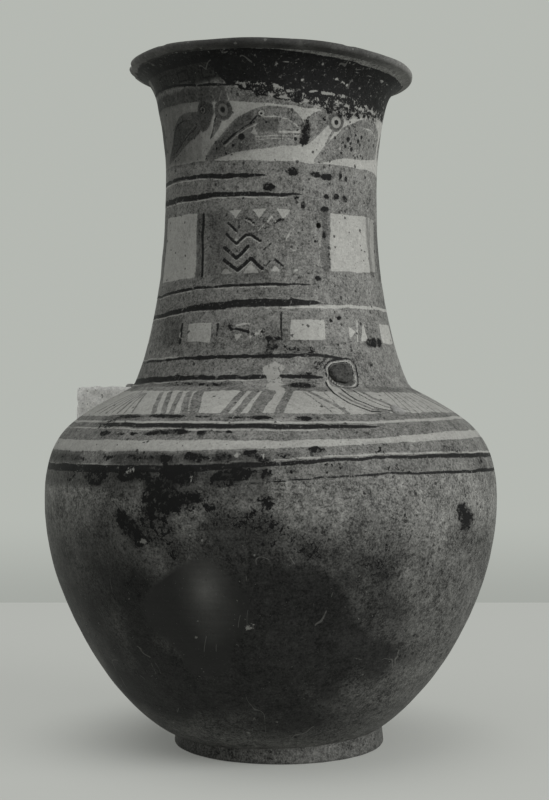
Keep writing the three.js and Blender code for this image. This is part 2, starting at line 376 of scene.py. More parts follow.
def random_waves(seed, shortest, longest, count=28):
    """Waves in random directions that add up to one smooth field through space."""
    rng = np.random.default_rng(seed)
    directions = rng.normal(size=(count, 3))
    directions /= np.linalg.norm(directions, axis=1)[:, None]
    lengths = rng.uniform(shortest, longest, count)
    return directions * (math.tau / lengths)[:, None], rng.uniform(0, math.tau, count)


def waves_at(points, waves):
    """The field's value at each point, about 1 at most places where it is strong."""
    vectors, phases = waves
    return np.sin(points @ vectors.T + phases).sum(axis=1) / math.sqrt(len(phases) / 2)


# Random fields, each with its seed and its shortest and longest wave in metres
WALL_WANDER = random_waves(11, 0.07, 0.20)
HAND_RIPPLE = random_waves(12, 0.010, 0.024)
LIP_WANDER = random_waves(13, 0.025, 0.07)
BRUSH_WANDER = random_waves(14, 0.010, 0.030)
BREAK_LUMPS = random_waves(15, 0.003, 0.009)
STAIN_WANDER = random_waves(16, 0.010, 0.045)

# Where the wandering comes in above the foot, and below the lip's height
STILL_FOOT = (0.004, 0.05)
WAVY_LIP = (LIP_HEIGHT - 0.016, LIP_HEIGHT - 0.002)

# How far the painter's brush strays across and up the wall, in millimetres
STRAY_ACROSS = 0.24
STRAY_UP = 0.2

# A chip's share of its reach that has its full depth
CHIP_CORE = 0.35

# How much of a stroke's edge is cut off each time that its corners are rounded
CORNER_CUT = 0.25

# How unevenly a patch ends, and the share of its reach that has its full strength
CLOUD_END = (0.06, -0.1)
STAIN_END = (0.16, 0.3)


def shape_by_hand(mesh, form):
    """Lets a wall wander from true as coiled clay does, the same on both sides of a seam."""
    points = points_of(mesh)
    radius = np.hypot(points[:, 0], points[:, 1])
    outward = points[:, :2] / np.maximum(radius, SAME_POINT)[:, None]
    above_foot = smoothstep(points[:, 2], *STILL_FOOT)
    out = form.unevenness * waves_at(points, WALL_WANDER) * above_foot
    out += form.ripple * waves_at(points, HAND_RIPPLE) * above_foot
    near_lip = smoothstep(points[:, 2], *WAVY_LIP)
    up = form.lip_waviness * waves_at(points, LIP_WANDER) * near_lip
    out += form.lip_waviness * waves_at(points[:, [1, 2, 0]], LIP_WANDER) * near_lip
    points[:, :2] += outward * out[:, None]
    points[:, 2] += up
    move_points(mesh, points)


def roughen(mesh, amount, waves=BREAK_LUMPS):
    """Moves a mesh in and out along its own normals in small lumps."""
    normals = np.empty(len(mesh.vertices) * 3)
    mesh.vertices.foreach_get("normal", normals)
    points = points_of(mesh)
    out = amount * waves_at(points, waves)
    move_points(mesh, points + normals.reshape(-1, 3) * out[:, None])


def chip(mesh, places):
    """Dents the lip where bits have broken away: turn, height, reach and depth of each."""
    points = points_of(mesh)
    for turn, height, reach, depth in places:
        angle = math.radians(turn)
        radius = LIP_RADIUS - reach / 4
        centre = np.array([radius * math.sin(angle), -radius * math.cos(angle), height])
        away = np.linalg.norm(points - centre, axis=1) / reach
        share = depth * (1 - smoothstep(away, CHIP_CORE, 1))
        points[:, :2] *= (1 - share / radius)[:, None]
        points[:, 2] -= share / 2
    move_points(mesh, points)


def soil(mesh):
    """Darkens a whole piece evenly."""
    dirt = mesh.attributes.new("cloud", "FLOAT", "POINT")
    dirt.data.foreach_set("value", np.full(len(mesh.vertices), SCAR_DARKENING, np.float32))


def add_object(name, data):
    """A new object in the scene."""
    made = bpy.data.objects.new(name, data)
    bpy.context.scene.collection.objects.link(made)
    return made


def keep_above(mesh, floor):
    """Lifts the vertices that lie below a floor, one height or one for each vertex."""
    points = points_of(mesh)
    points[:, 2] = np.maximum(points[:, 2], floor)
    move_points(mesh, points)


def round_edges(bm, edges, offset, segments):
    """Bevels some edges."""
    bmesh.ops.bevel(bm, geom=edges, offset=offset, offset_type="OFFSET", affect="EDGES", segments=segments,
                    profile=0.5, material=-1)


def show(name, mesh, node, slot):
    """Shows a finished mesh, in its slot's finish, in place of the solid that it dresses."""
    if name in bpy.data.objects:
        bpy.data.objects.remove(bpy.data.objects[name])
    mesh.shade_smooth()
    mesh.set_sharp_from_angle(angle=SHARP_EDGE)
    mesh.materials.clear()
    mesh.materials.append(finish_for(slot))
    piece = add_object(name, mesh)
    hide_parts(node)
    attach(piece, "root")
    return piece


# Painting


def along_mm(height_mm):
    """Distance up the outside to a height, both in millimetres."""
    return np.interp(height_mm, OUTSIDE[:, 1] * MM, OUTSIDE[:, 2] * MM)


def oblong(left, low, right, high):
    """The corners of an oblong."""
    return [(left, low), (right, low), (right, high), (left, high)]


def read_at(values, turn):
    """Reads {turn: value} at a turn, eased between the turns that are given."""
    turns = sorted(values)
    return float(np.interp(turn, turns, [values[t] for t in turns]))


def rounded(points, times=2):
    """A closed outline with its corners cut again and again, as a brush would round them."""
    points = np.array(points, float)
    for _ in range(times):
        after = np.roll(points, -1, axis=0)
        most, rest = 1 - CORNER_CUT, CORNER_CUT
        points = np.stack([most * points + rest * after, rest * points + most * after], axis=1)
        points = points.reshape(-1, 2)
    return points


class Skin:
    """The outside of one wall, unrolled for painting: turn in degrees to the right of the front.

    Each field holds, for every vertex, the distance in millimetres to the edge of its colour,
    below zero inside it. Soot, cloud, dust and shine hold strengths from 0 to 1. The cloud holds fire
    clouds and dirt, and painted light and shade as well; below zero it is a place painted paler.
    """

    def __init__(self, mesh):
        points = points_of(mesh)
        heights = points[:, 2] + lean_at(points[:, 2]) * points[:, 0]
        radii = np.hypot(points[:, 0], points[:, 1])
        wander = waves_at(points, BRUSH_WANDER) * STRAY_UP
        sway = waves_at(points[:, [2, 0, 1]], BRUSH_WANDER) * STRAY_ACROSS
        self.outer = self.is_outer(heights, radii)
        self.radius = np.maximum(radii * MM, 1)
        self.turn = np.degrees(np.arctan2(points[:, 0], -points[:, 1]) + sway / self.radius)
        self.along = along_mm(heights * MM) + wander
        self.lumps = waves_at(points, BREAK_LUMPS)
        self.stir = waves_at(points, STAIN_WANDER)
        count = len(points)
        self.fields = {
            "pale": np.full(count, FAR),
            "dark": np.full(count, FAR),
            "bare": np.where(self.outer, FAR, -FAR),
        }
        self.strengths = {name: np.zeros(count) for name in ("soot", "cloud", "dust", "shine")}

    def is_outer(self, heights, radii):
        """Which vertices lie on the outside of the wall, judged by the nearer skin."""
        gap = np.abs(radii - radius_at(heights))
        inner = np.interp(heights, INSIDE[:, 1], INSIDE[:, 0])
        return gap <= np.abs(radii - inner)

    def around(self, values):
        """Values given at some turns, read at every vertex."""
        turns = sorted(values)
        return np.interp(self.turn, turns, [values[t] for t in turns], period=360)

    def lay(self, colour, where, distance):
        """Lays a colour where the distance is below zero, over what was there."""
        for name in ("pale", "dark"):
            field = self.fields[name]
            if name == colour:
                field[where] = np.minimum(field[where], distance)
            else:
                field[where] = np.maximum(field[where], -distance)

    def band(self, colour, low, high, rough=0.0):
        """Colour between two heights all round, none where they cross, with an uneven edge."""
        distance = np.maximum(along_mm(low) - self.along, self.along - along_mm(high))
        distance += rough * self.lumps
        where = np.flatnonzero(self.outer & (distance < FAR))
        self.lay(colour, where, distance[where])

    def ring(self, colour, heights, widths, rough=0.0):
        """A line round the jar. Heights and widths are {turn: millimetres}, eased between turns."""
        centre, half = self.around(heights), self.around(widths) / 2
        self.band(colour, centre - half, centre + half, rough)

    def store(self, mesh):
        """Keeps the painting in the mesh as attributes."""
        for name, values in {**self.fields, **self.strengths}.items():
            attribute = mesh.attributes.new(name, "FLOAT", "POINT")
            attribute.data.foreach_set("value", np.clip(values, -FAR, FAR).astype(np.float32))


class Brush:
    """Draws one motif, in millimetres to the right and up the wall from a point on the skin."""

    def __init__(self, skin, turn, height, reach=BRUSH_REACH):
        x = ((skin.turn - turn + 180) % 360 - 180) * math.pi / 180 * skin.radius
        y = skin.along - along_mm(height)
        self.skin = skin
        self.near = np.flatnonzero(skin.outer & (np.abs(x) < reach) & (np.abs(y) < reach))
        self.x = x[self.near]
        self.y = y[self.near]

    def to_edges(self, starts, ends):
        """Distance of every near vertex to the closest of some straight edges."""
        closest = np.full(len(self.near), OUT_OF_REACH)
        for (ax, ay), (bx, by) in zip(starts, ends):
            dx, dy = bx - ax, by - ay
            share = ((self.x - ax) * dx + (self.y - ay) * dy) / max(dx * dx + dy * dy, LEAST_SQUARE)
            share = np.clip(share, 0, 1)
            gap = np.hypot(self.x - ax - share * dx, self.y - ay - share * dy)
            closest = np.minimum(closest, gap)
        return closest

    def to_outline(self, points):
        """Distance of every near vertex to a closed outline, below zero inside it."""
        ends = np.roll(np.array(points, float), -1, axis=0)
        inside = np.zeros(len(self.near), bool)
        for (ax, ay), (bx, by) in zip(points, ends):
            if ay == by:
                continue
            crosses = (ay > self.y) != (by > self.y)
            inside ^= crosses & (self.x < (bx - ax) * (self.y - ay) / (by - ay) + ax)
        distance = self.to_edges(points, ends)
        return np.where(inside, -distance, distance)

    def line(self, colour, points, width):
        """A stroke through points."""
        self.skin.lay(colour, self.near, self.to_edges(points[:-1], points[1:]) - width / 2)

    def loop(self, colour, points, width):
        """A stroke along a closed outline."""
        self.line(colour, np.vstack([points, points[:1]]), width)

    def shape(self, colour, points):
        """A filled outline."""
        self.skin.lay(colour, self.near, self.to_outline(points))

    def dot(self, colour, x, y, radius):
        """A round spot."""
        self.skin.lay(colour, self.near, np.hypot(self.x - x, self.y - y) - radius)

    def gather(self, name, share, strength):
        """Raises a strength where it is weaker, or clears it if below zero."""
        field = self.skin.strengths[name][self.near]
        if strength < 0:
            field *= 1 + strength * share
        else:
            field += share * np.maximum(0, strength - field)
        self.skin.strengths[name][self.near] = field

    def stain(self, name, across, up, strength):
        """Soot, dust or a fire cloud that gathers in an uneven oval. Below zero it thins them, as for the
        painted highlight.
        """
        unevenness, core = CLOUD_END if name == "cloud" else STAIN_END
        away = np.hypot(self.x / across, self.y / up) + unevenness * self.skin.stir[self.near]
        self.gather(name, 1 - smoothstep(away, core, 1), strength)

    def wash(self, name, points, strength, soft=1.0):
        """Soot, dust, a fire cloud or painted shade within an outline, easing off at its edge."""
        self.gather(name, 1 - smoothstep(self.to_outline(points), -soft, soft), strength)


def wash_along(skin, name, turns, height, corners, strength, soft):
    """The same wash at several turns. Its height and strength may be given as {turn: value}."""
    for turn in turns:
        up = read_at(height, turn) if isinstance(height, dict) else height
        share = read_at(strength, turn) if isinstance(strength, dict) else strength
        Brush(skin, turn, up).wash(name, corners, share, soft)


# Birds round the top of the neck: turn and scale of each wing, turn of each drop-shaped body. Their
# outlines start at the tip. The pale ground is shaded on the left
WINGS = ((-36, 1.0), (22, 1.04), (84, 1.0), (142, 1.04), (234, 1.0))
GROUND_SHADE = {-54: 0.82, -38: 0.6, -28: 0.15}
DROPS = (-69, 201)
LONG_NECKS = (22, 84, 142)
BIRD_FOOT = 336.5
WING = [(-1, 0), (4, 7), (10, 13), (14, 17), (19, 22), (25, 25), (31, 28), (38, 29.5), (44, 30),
        (50, 29.5), (55, 27.5), (58, 25), (59.5, 22), (58.5, 19), (57.5, 13), (56.5, 9.5), (50, 8.6),
        (40, 7), (31, 6), (21, 5), (13, 3), (6, 1)]
WING_EDGE = [(1, 2), (10, 12), (19, 21), (26, 25), (31, 27), (31, 23), (22, 17), (13, 9), (9, 4)]
WING_PANEL = [(32, 23), (45, 23.4), (44, 16), (32.5, 16)]
WING_RIB = [(37, 23.6), (43.4, 24.4), (50.7, 22.8), (55.2, 20.4), (57, 17.5)]
WING_QUILL = [(13, 9.3), (20, 14.6), (26, 18.8), (32, 21.3)]
WING_EYE = (35.7, 25.4)
WING_SPOTS = ((23.7, 12.9, 1.8), (53.7, 12.7, 1.0), (18.5, 8.4, 0.9), (14, 4.2, 0.8), (38, 21, 0.7))
LONG_NECK = [(-5, 24), (-2, 27), (2, 29.5), (7.5, 31), (11, 28), (10.4, 23.6), (4.4, 18), (-1, 12),
             (-5, 9.3), (-7, 13)]
BEAK = [(-5, -4), (-1, -5), (-3, -9), (-7.5, -14), (-9, -15.5), (-6, -9)]
HEAD_AT = (13.8, 28)
LOW_HEAD_AT = (13.9, 24.5)
CREST = ([(8, 38.4), (9.3, 33), (11, 31.5)], [(14.4, 38.2), (12.2, 33)], [(16.6, 39), (18, 33.5)],
         [(9.5, 40.6), (12, 41)])
WORN_SPOTS = (
    (22, 12, 1.1), (24, 16, 1.5), (27, 11, 1.2), (26, 14, 0.8), (33, 16, 1.4), (36, 19, 1.2),
    (35, 14.5, 1.0), (30, 19, 1.0), (33, 8, 0.8), (36, 9, 0.7), (38, 8, 0.8), (29, 8, 0.6), (19, 8, 0.8),
    (45, 19, 1.0), (45.4, 15, 0.8), (20, 14, 0.7), (39, 14, 0.6),
)
DROP = [(-2, 2), (3, 9), (7, 15), (12, 22), (18, 27), (24, 29), (31, 28.8), (35, 28), (38, 26), (36, 20),
        (34, 16), (27, 13), (18, 9), (8, 4)]
DROP_LEAF = [(3, 6), (9, 16), (14, 22.5), (21, 24.8), (27, 24.6), (32, 22), (32, 19), (23, 15.5), (13, 9)]
DROP_NECK = [(34, 26), (35, 31), (38, 34), (45, 33), (46, 30), (45, 25), (41, 19), (35, 16)]
DROP_EYE = (38.5, 28.9)


def paint_wing(brush, scale, worn):
    """One wing with its rib, panel and small eye. The quill is gone from a worn one."""

    def at(points):
        return [(x * scale, y * scale) for x, y in points]

    brush.shape("grey", rounded(at(WING), 1))
    brush.line("pale", at(WING_RIB), 0.8)
    if worn:
        brush.line("pale", at(WING[3:12]), 0.9)
        brush.wash("dust", at(WING), 0.3)
        for x, y, size in WORN_SPOTS:
            brush.dot("dark", x, y, size)
        return
    brush.wash("cloud", at(WING[:7] + WING[-4:]), 0.45, 3.0)
    brush.wash("cloud", at(WING_EDGE), 0.75)
    brush.wash("cloud", at(WING_PANEL), 0.6, 0.6)
    brush.line("pale", [(x + 0.9, y - 1.3) for x, y in at(WING_QUILL)], 0.8)
    brush.line("dark", at(WING_QUILL), 0.8)
    brush.line("dark", at(WING_QUILL[:2]), 1.4)
    brush.line("dark", at([(29, 20.5), (32, 23), (34, 25)]), 1.0)
    brush.shape("pale", at([(28.7, 15), (30.8, 18.6), (32.6, 14.4)]))
    brush.line("pale", at([(44.6, 15.9), (56.6, 16.6)]), 1.1)
    brush.line("pale", at([(31, 13.6), (56.4, 14.4)]), 0.7)
    brush.line("pale", at([(33, 12), (56, 12.6)]), 0.45)
    for colour, radius in (("pale", 1.7), ("dark", 0.7)):
        brush.dot(colour, *at([WING_EYE])[0], radius)
    for x, y, radius in WING_SPOTS:
        brush.dot("dark", x * scale, y * scale, radius)


def paint_head(brush, head, eye, beak):
    """A round head with a ring eye and a beak that points down to the left."""
    x, y = head
    brush.dot("grey", x, y, 5.7)
    circle = [(x + 5.5 * math.cos(t), y + 5.3 * math.sin(t)) for t in np.linspace(0, math.tau, 18)]
    brush.wash("cloud", circle, 0.6, 0.8)
    if beak:
        outline = rounded([(x + a, y + b) for a, b in BEAK], 1)
        brush.shape("grey", outline)
        brush.wash("cloud", outline, 0.5, 0.6)
        brush.line("dark", [(x - 4.6, y - 3), (x - 6.6, y - 8), (x - 9, y - 15)], 0.7)
    else:
        brush.line("grey", [(x - 1.6, y - 5), (x - 6, y - 13)], 1.5)
    brush.wash("cloud", [(x + (a - x) * eye / 5.5, y + (b - y) * eye / 5.5) for a, b in circle], -0.8, 0.4)
    brush.dot("pale", x, y, eye)
    if beak:
        brush.dot("grey", x, y, eye * 0.55)
    brush.dot("dark", x, y, eye * 0.42)
    if beak:
        brush.wash("cloud", circle, 0.8, 0.6)


def paint_birds(skin):
    """Pale ground with grey birds below the rim."""
    low = {-70: 337.4, -36: 337.4, 0: 336.2, 22: 336.4, 60: 338, 180: 337}
    high = {-71: 371.2, -50: 370.8, -35: 369.4, -8: 368, 17: 366.4, 39: 368, 81: 369.8, 180: 369}
    skin.band("pale", skin.around(low), skin.around(high))
    wash_along(skin, "cloud", range(-88, -28, 6), 354, oblong(-4, -17, 4, 17), GROUND_SHADE, 2.5)
    for tip in DROPS:
        brush = Brush(skin, tip, BIRD_FOOT)
        brush.shape("grey", rounded(DROP, 1))
        brush.shape("grey", rounded(DROP_NECK, 1))
        leaf = rounded(DROP_LEAF, 1)
        brush.wash("cloud", rounded(DROP, 1), 0.82)
        brush.wash("cloud", leaf, 0.95, 0.6)
        brush.loop("dark", leaf, 0.7)
        brush.line("pale", [(29.5, 23.6), (31.6, 21), (24.7, 17.2), (19, 13.6)], 0.6)
        brush.wash("cloud", rounded(DROP_NECK), 0.9)
        for colour, radius in (("dark", 2.6), ("pale", 1.9), ("dark", 0.9)):
            brush.dot(colour, *DROP_EYE, radius)
        brush.loop("grey", [(38, 3), (40.5, 6), (38, 8), (35.5, 5)], 0.5)
    for tip, scale in WINGS:
        brush = Brush(skin, tip, BIRD_FOOT)
        if tip in LONG_NECKS:
            brush.shape("grey", rounded(LONG_NECK, 1))
            paint_head(brush, LOW_HEAD_AT, 3.5, False)
        else:
            paint_head(brush, HEAD_AT, 3.3, True)
            brush.wash("cloud", rounded([(8, 41), (12, 42), (17, 40), (18, 32), (8, 32)]), 0.7)
            for feather in CREST:
                brush.line("pale", feather, 0.8)
        paint_wing(brush, scale, tip in LONG_NECKS)


# Boxes drawn in the left and back of the rim band, the turns where the band is dirty,
# and flecks of pale slip in the black: turn, height, length
RIM_BOXES = (-62, -45, -29.5, *range(100, 271, 17))
RIM_DIRT = (-64, -44, -26, 96, 140, 180, 220, 260)
PALE_FLECKS = (
    (-4.5, 377.8, 9), (2.4, 377.2, 3), (4.6, 376.6, 2), (15, 380.8, 2), (20.5, 375.8, 6), (28, 375.4, 10),
    (34, 375.4, 3), (37, 375.4, 3), (6.4, 371.4, 4), (17, 370.2, 4), (41, 371, 4), (50, 371, 9),
    (60, 371.6, 8), (32, 384, 3), (35.4, 383, 3), (38, 382, 2), (47, 382, 2.4), (9, 375, 3),
    (-16, 379, 2), (56, 367, 3),
)


def paint_rim_band(skin):
    """The band below the lip: lines and boxes on the left and back, solid black on the right."""
    skin.ring("dark", {-62: 381.6, -36: 379, -20: 377.6, 180: 380},
              {-20: 1.3, -14: -2, 88: -2, 98: 1.3}, 0.12)
    high = skin.around({-30: 400, -8: 395, 20: 393.8, 45: 393.2, 70: 393.4, 88: 394.2, 105: 400})
    skin.band("dark", skin.around({0: 389.6}), high, 0.1)
    for turn in RIM_BOXES:
        brush = Brush(skin, turn, 385, 20)
        brush.loop("dark", [(-4.6, 2.4), (4.6, 2.8), (4.4, -2.6), (-4.4, -2.8)], 0.9)
        brush.line("dark", [(8.4, 4), (8.2, -4.5)], 0.8)
    low = {-30: 392, -22: 380, -21: 377.6, -10: 374.6, -4: 371.8, 5: 370.2, 17: 368.4, 25: 367.8, 53: 369.2,
           84: 370.5, 98: 392}
    skin.band("dark", skin.around(low), skin.around({0: 390}), 0.6)
    wash_along(skin, "cloud", RIM_DIRT, 386, oblong(-18, -6, 18, 8), 1.1, 2.0)
    wash_along(skin, "cloud", range(-90, -20, 8), 374, oblong(-5, -4.4, 5, 4), {-60: 0.98, -20: 0.7}, 1.6)
    dusty = {72: 380, 78: 378, 84: 376, 76: 384}
    wash_along(skin, "dust", dusty, dusty, oblong(-4, -2, 4, 2), 0.55, 3.0)
    for turn, height, length in PALE_FLECKS:
        brush = Brush(skin, turn, height, 20)
        half = length / 2
        brush.wash("dust", [(-half, 0.9), (half * 0.8, 1.1), (half, -0.8), (-half, -0.7)], 1.0, 0.7)
    for turn in range(-14, 90, 8):
        wash_along(skin, "dust", (turn,), read_at(low, turn) + 2, oblong(-6, -3, 6, 3), 0.6, 2.5)


# Lines round the neck: colour, heights and widths as {turn: millimetres}, unevenness of the edge
NECK_LINES = (
    ("dark", {-51: 329.2, -26: 328.1, -5: 328, 180: 329},
     {-180: 2.6, -51: 2.0, -26: 2.9, -12: 2.4, -1: 0.4, 3: -1, 90: -2, 100: 2.6}, 0.15),
    ("pale", {-51: 327.4, -26: 326.1, 180: 327},
     {-180: 0.7, -20: 0.7, -8: -1, 92: -1, 104: 0.7}, 0.06),
    ("dark", {-72: 317.6, -48: 317.2, -27: 317.6, 9: 318, 180: 317},
     {-180: 3.0, -60: 3.2, -40: 3.2, -20: 2.6, 6: 2.0, 14: 1, 22: -1, 86: -2, 96: 3.0}, 0.12),
    ("pale", {-72: 315.4, -48: 315, -27: 315.7, 9: 316.3, 180: 315},
     {-180: 0.8, -20: 0.8, 10: 0.4, 60: -1, 86: -1, 96: 0.8}, 0.06),
    ("dark", {-70: 263.5, -38: 266, -15: 267, 5: 267.5, 25: 267.2, 180: 265},
     {-180: 1.6, -38: 1.5, 5: 1.4, 18: 1.0, 27: -1, 82: -1, 96: 1.6}, 0.12),
    ("pale", {-70: 262.3, -38: 264.8, -15: 265.7, 5: 266.1, 180: 264},
     {-180: 0.6, 0: 0.6, 12: -1, 90: -1, 100: 0.6}, 0.06),
    ("dark", {-69: 251.5, -41: 254.6, -18: 256.4, 1: 257.2, 17: 257.4, 30: 257.6, 180: 255},
     {-180: 4.4, -69: 2.2, -41: 3.2, -20: 4.3, 1: 4.5, 12: 3.8, 22: 1.8, 31: -1, 84: -1, 98: 4.4}, 0.12),
    ("pale", {-69: 250, -41: 252.5, -18: 253.3, 10: 254.4, 36: 256, 77: 256.6, 180: 252.6},
     {-180: 0.7, -44: 0.8, -30: 0.3, -4: 0.4, 10: 1.0, 22: 1.7, 77: 1.7, 95: 0.7}, 0.08),
    ("dark", {-71: 225.3, -46: 226.3, -32: 226.8, -3: 227.4, 19: 228, 30: 227, 36: 226.2, 180: 226},
     {-180: 2.0, -50: 1.0, -34: 2.0, 20: 2.2, 30: 1.5, 37: -1, 84: -1, 96: 2.0}, 0.2),
    ("pale", {-71: 226.6, -46: 227.5, -32: 228.2, 180: 227.4},
     {-90: 0.8, -46: 0.8, -28: -1, 120: -1, 150: 0.8}, 0.0),
    ("dark", {-70: 214.2, -50: 215.1, -30: 215.5, 22: 215.8, 180: 215},
     {-180: 3.0, -60: 3.3, -40: 2.9, -15: 2.3, 6: 2.1, 20: 1.7, 23: -1, 84: -1, 96: 3.0}, 0.2),
    ("pale", {-70: 212, -50: 212.9, -30: 213.6, -4: 214.1, 180: 212.8},
     {-180: 0.6, -45: 0.5, -6: 0.8, 0: -1, 110: -1, 130: 0.6}, 0.1),
)


def paint_neck_lines(skin):
    """Lines round the neck. The black ones are worn away on the right."""
    for colour, heights, widths, rough in NECK_LINES:
        skin.ring(colour, heights, widths, rough)


# Pale panels and the woven pattern between them, in the middle of the neck
PANELS = (
    (-56, 290, [(-18.6, -19), (18.6, -18), (17, 18.4), (-17, 18.2)]),
    (48, 293, [(-20.4, -17), (14, -15.6), (19, 17.4), (-18, 15.8)]),
    (172, 291, [(-18, -18), (18.4, -17.6), (17, 18), (-17.4, 18)]),
)
PANEL_STRIP = [(14.8, -15), (22, -15), (27, 17), (19.7, 17)]
STRIP_SHADE = [(14, -16), (23, -16), (28, 18), (19, 18)]
WEAVES = (-6, 98, 122, 222, 246)
WEAVE_SHADE = [(-30, -18), (-19, -18), (-14, 0), (-19, 17), (-30, 17)]
WEAVE_MIDDLE = 291.5
PALE_TRIANGLES = (
    [(-16.6, 17.2), (-9.6, 17.4), (-13.1, 12.6)], [(-3.8, 17.7), (4, 17.9), (0.2, 12.5)],
    [(9.4, 18), (17.8, 18.2), (13.3, 12.7)], [(-22.4, -18.1), (-15, -18.3), (-19.8, -14.9)],
    [(-9.2, -18), (0.1, -17.9), (-4.7, -12.4)], [(6.4, -17.3), (12.1, -17.1), (8.9, -13.3)],
    [(18.8, -16.9), (22.9, -16.5), (21.5, -14.8)],
)
STROKES = (
    ([(-18.4, 4), (-12.8, -1.2), (-7.2, 3.6), (-4.2, 3.6), (1.2, 0)], 1.7),
    ([(-19.3, -3.8), (-12.9, -9.4), (-5.6, -3)], 2.0),
    ([(-20, -10.6), (-12.3, -16.4), (-4.9, -9.8), (-3.6, -9.9), (1.8, -15.4)], 2.1),
    ([(-17.6, 10.2), (-12.7, 5.8)], 1.3),
    ([(-7.2, 12.6), (-5.2, 11.8), (-3, 10)], 1.2),
)
WORN_STROKES = (
    ([(3, -5), (7.3, -1.2)], 0.8), ([(11, -5.8), (15.8, -8.5)], 0.7),
    ([(4.1, -14), (6.2, -11)], 0.9), ([(8.8, -10), (13.5, -14)], 1.3), ([(9, 10.4), (12, 12.4)], 1.4),
)
SCRAPED = (
    ([(5, 10.6), (7.2, 13.9), (9.6, 10.8)], 0.7), ([(18.5, 7.5), (20.8, 3.8)], 0.6),
    ([(16.6, 4.6), (14.8, 0.8)], 0.8), ([(18, -3.8), (20.4, -4.6)], 0.8), ([(7.3, 3.5), (11, -0.2)], 0.5),
    ([(5.4, 12), (-1, 5)], 0.4), ([(10.5, 8), (15, 1)], 0.4), ([(-13.4, 0.9), (-12.2, 0.9)], 1.1),
)


def paint_panels(skin):
    """Plain pale panels, and zigzags between rows of small pale triangles."""
    for turn, height, corners in PANELS:
        brush = Brush(skin, turn, height)
        brush.shape("pale", corners)
        left, right = corners[0][0], corners[1][0]
        side = [(left - 5, -16), (left - 4.6, 14)]
        if turn < 0:
            side = [(right + 5, -17.5), (right + 3.2, 17.5)]
        brush.line("dark", side, 0.3 if 0 < turn < 90 else 1.8)
        for x, edges, shade in ((right, (0.6, 5, 3, -1), 0.5), (left, (-5, -0.6, 1, -3), 0.35)):
            corners = [(x + edge, up) for edge, up in zip(edges, (-18, -18, 18, 18))]
            brush.wash("cloud", corners, shade, 0.8)
    strip = Brush(skin, *PANELS[1][:2])
    strip.shape("pale", PANEL_STRIP)
    strip.wash("cloud", STRIP_SHADE, 0.22, 0.6)
    Brush(skin, -13, 271).wash("cloud", oblong(-20, -3, 14, 5), 0.3, 3)
    for turn in WEAVES:
        brush = Brush(skin, turn, WEAVE_MIDDLE)
        brush.wash("cloud", WEAVE_SHADE, 0.5, 4)
        for triangle in PALE_TRIANGLES:
            brush.shape("pale", triangle)
        for side in (1,) if turn == WEAVES[0] else (1, -1):
            for points, width in STROKES:
                mirrored = [(side * x, y) for x, y in points]
                brush.line("pale", [(x, y - 1.2) for x, y in mirrored], width * 0.7)
                brush.line("dark", mirrored, width)
        for points, width in WORN_STROKES:
            brush.line("dark", points, width)
        for points, width in SCRAPED:
            brush.line("pale", points, width)


# Row of squares low on the neck: corners, turns, and the turns of the paired triangles between them
FIRST_SQUARE = [(-6.1, 4), (9.2, 4.5), (9.4, -7.4), (-5.8, -6.6)]
SQUARE = [(-9.8, 5.7), (9.8, 5.9), (9.8, -5.5), (-10.8, -6)]
SQUARES = (-35, 17, 69, 120, 171, 222, 273)
WORN_BOW = -10
BOWS = (43, 95, 146, 197, 248)
SQUARE_MIDDLE = 242


def paint_square_row(skin):
    """Pale squares with a pair of facing triangles between each two."""
    for turn in SQUARES:
        brush = Brush(skin, turn, SQUARE_MIDDLE)
        if turn == SQUARES[0]:
            brush.shape("pale", FIRST_SQUARE)
            brush.line("dark", [(-11.4, 3.8), (-11.8, -7)], 1.8)
            brush.line("dark", [(12.8, 3.9), (13, -3.8)], 1.1)
            brush.wash("cloud", oblong(-30, 8, -12, -9), 0.5, 3)
        else:
            brush.shape("pale", SQUARE)
        if turn > 90:
            brush.line("dark", [(-14, 5), (-14.2, -6)], 1.6)
    bow = Brush(skin, WORN_BOW, SQUARE_MIDDLE)
    bow.line("pale", [(-7, 2.2), (-2, 3.2), (0.4, 3.4)], 1.1)
    bow.shape("pale", [(-8, -2.6), (-3.3, -2.4), (-6.1, -6.4)])
    bow.line("dark", [(-7.5, 0.4), (-3, -0.6), (0.4, -1.5)], 1.5)
    bow.dot("pale", 1.3, -4.1, 0.9)
    bow.shape("pale", [(2.8, -2.4), (8, 0.9), (8, -2.9)])
    bow.line("dark", [(18, 9.8), (18.3, 4), (18.6, -6)], 1.1)
    bow.line("dark", [(-11.6, 2.4), (-9.4, 0)], 1.6)
    for turn in BOWS:
        bow = Brush(skin, turn, SQUARE_MIDDLE)
        bow.shape("pale", [(-7, 3), (-2, 0), (-7, -4.6)])
        bow.shape("pale", [(1.6, -5.6), (5.4, 5.6), (7.6, -5.4)])
        bow.line("pale", [(0.6, 6.8), (-1.4, -6)], 1.0)
        if turn > 90:
            bow.wash("cloud", oblong(-9, 8, 10, -7), 0.5)


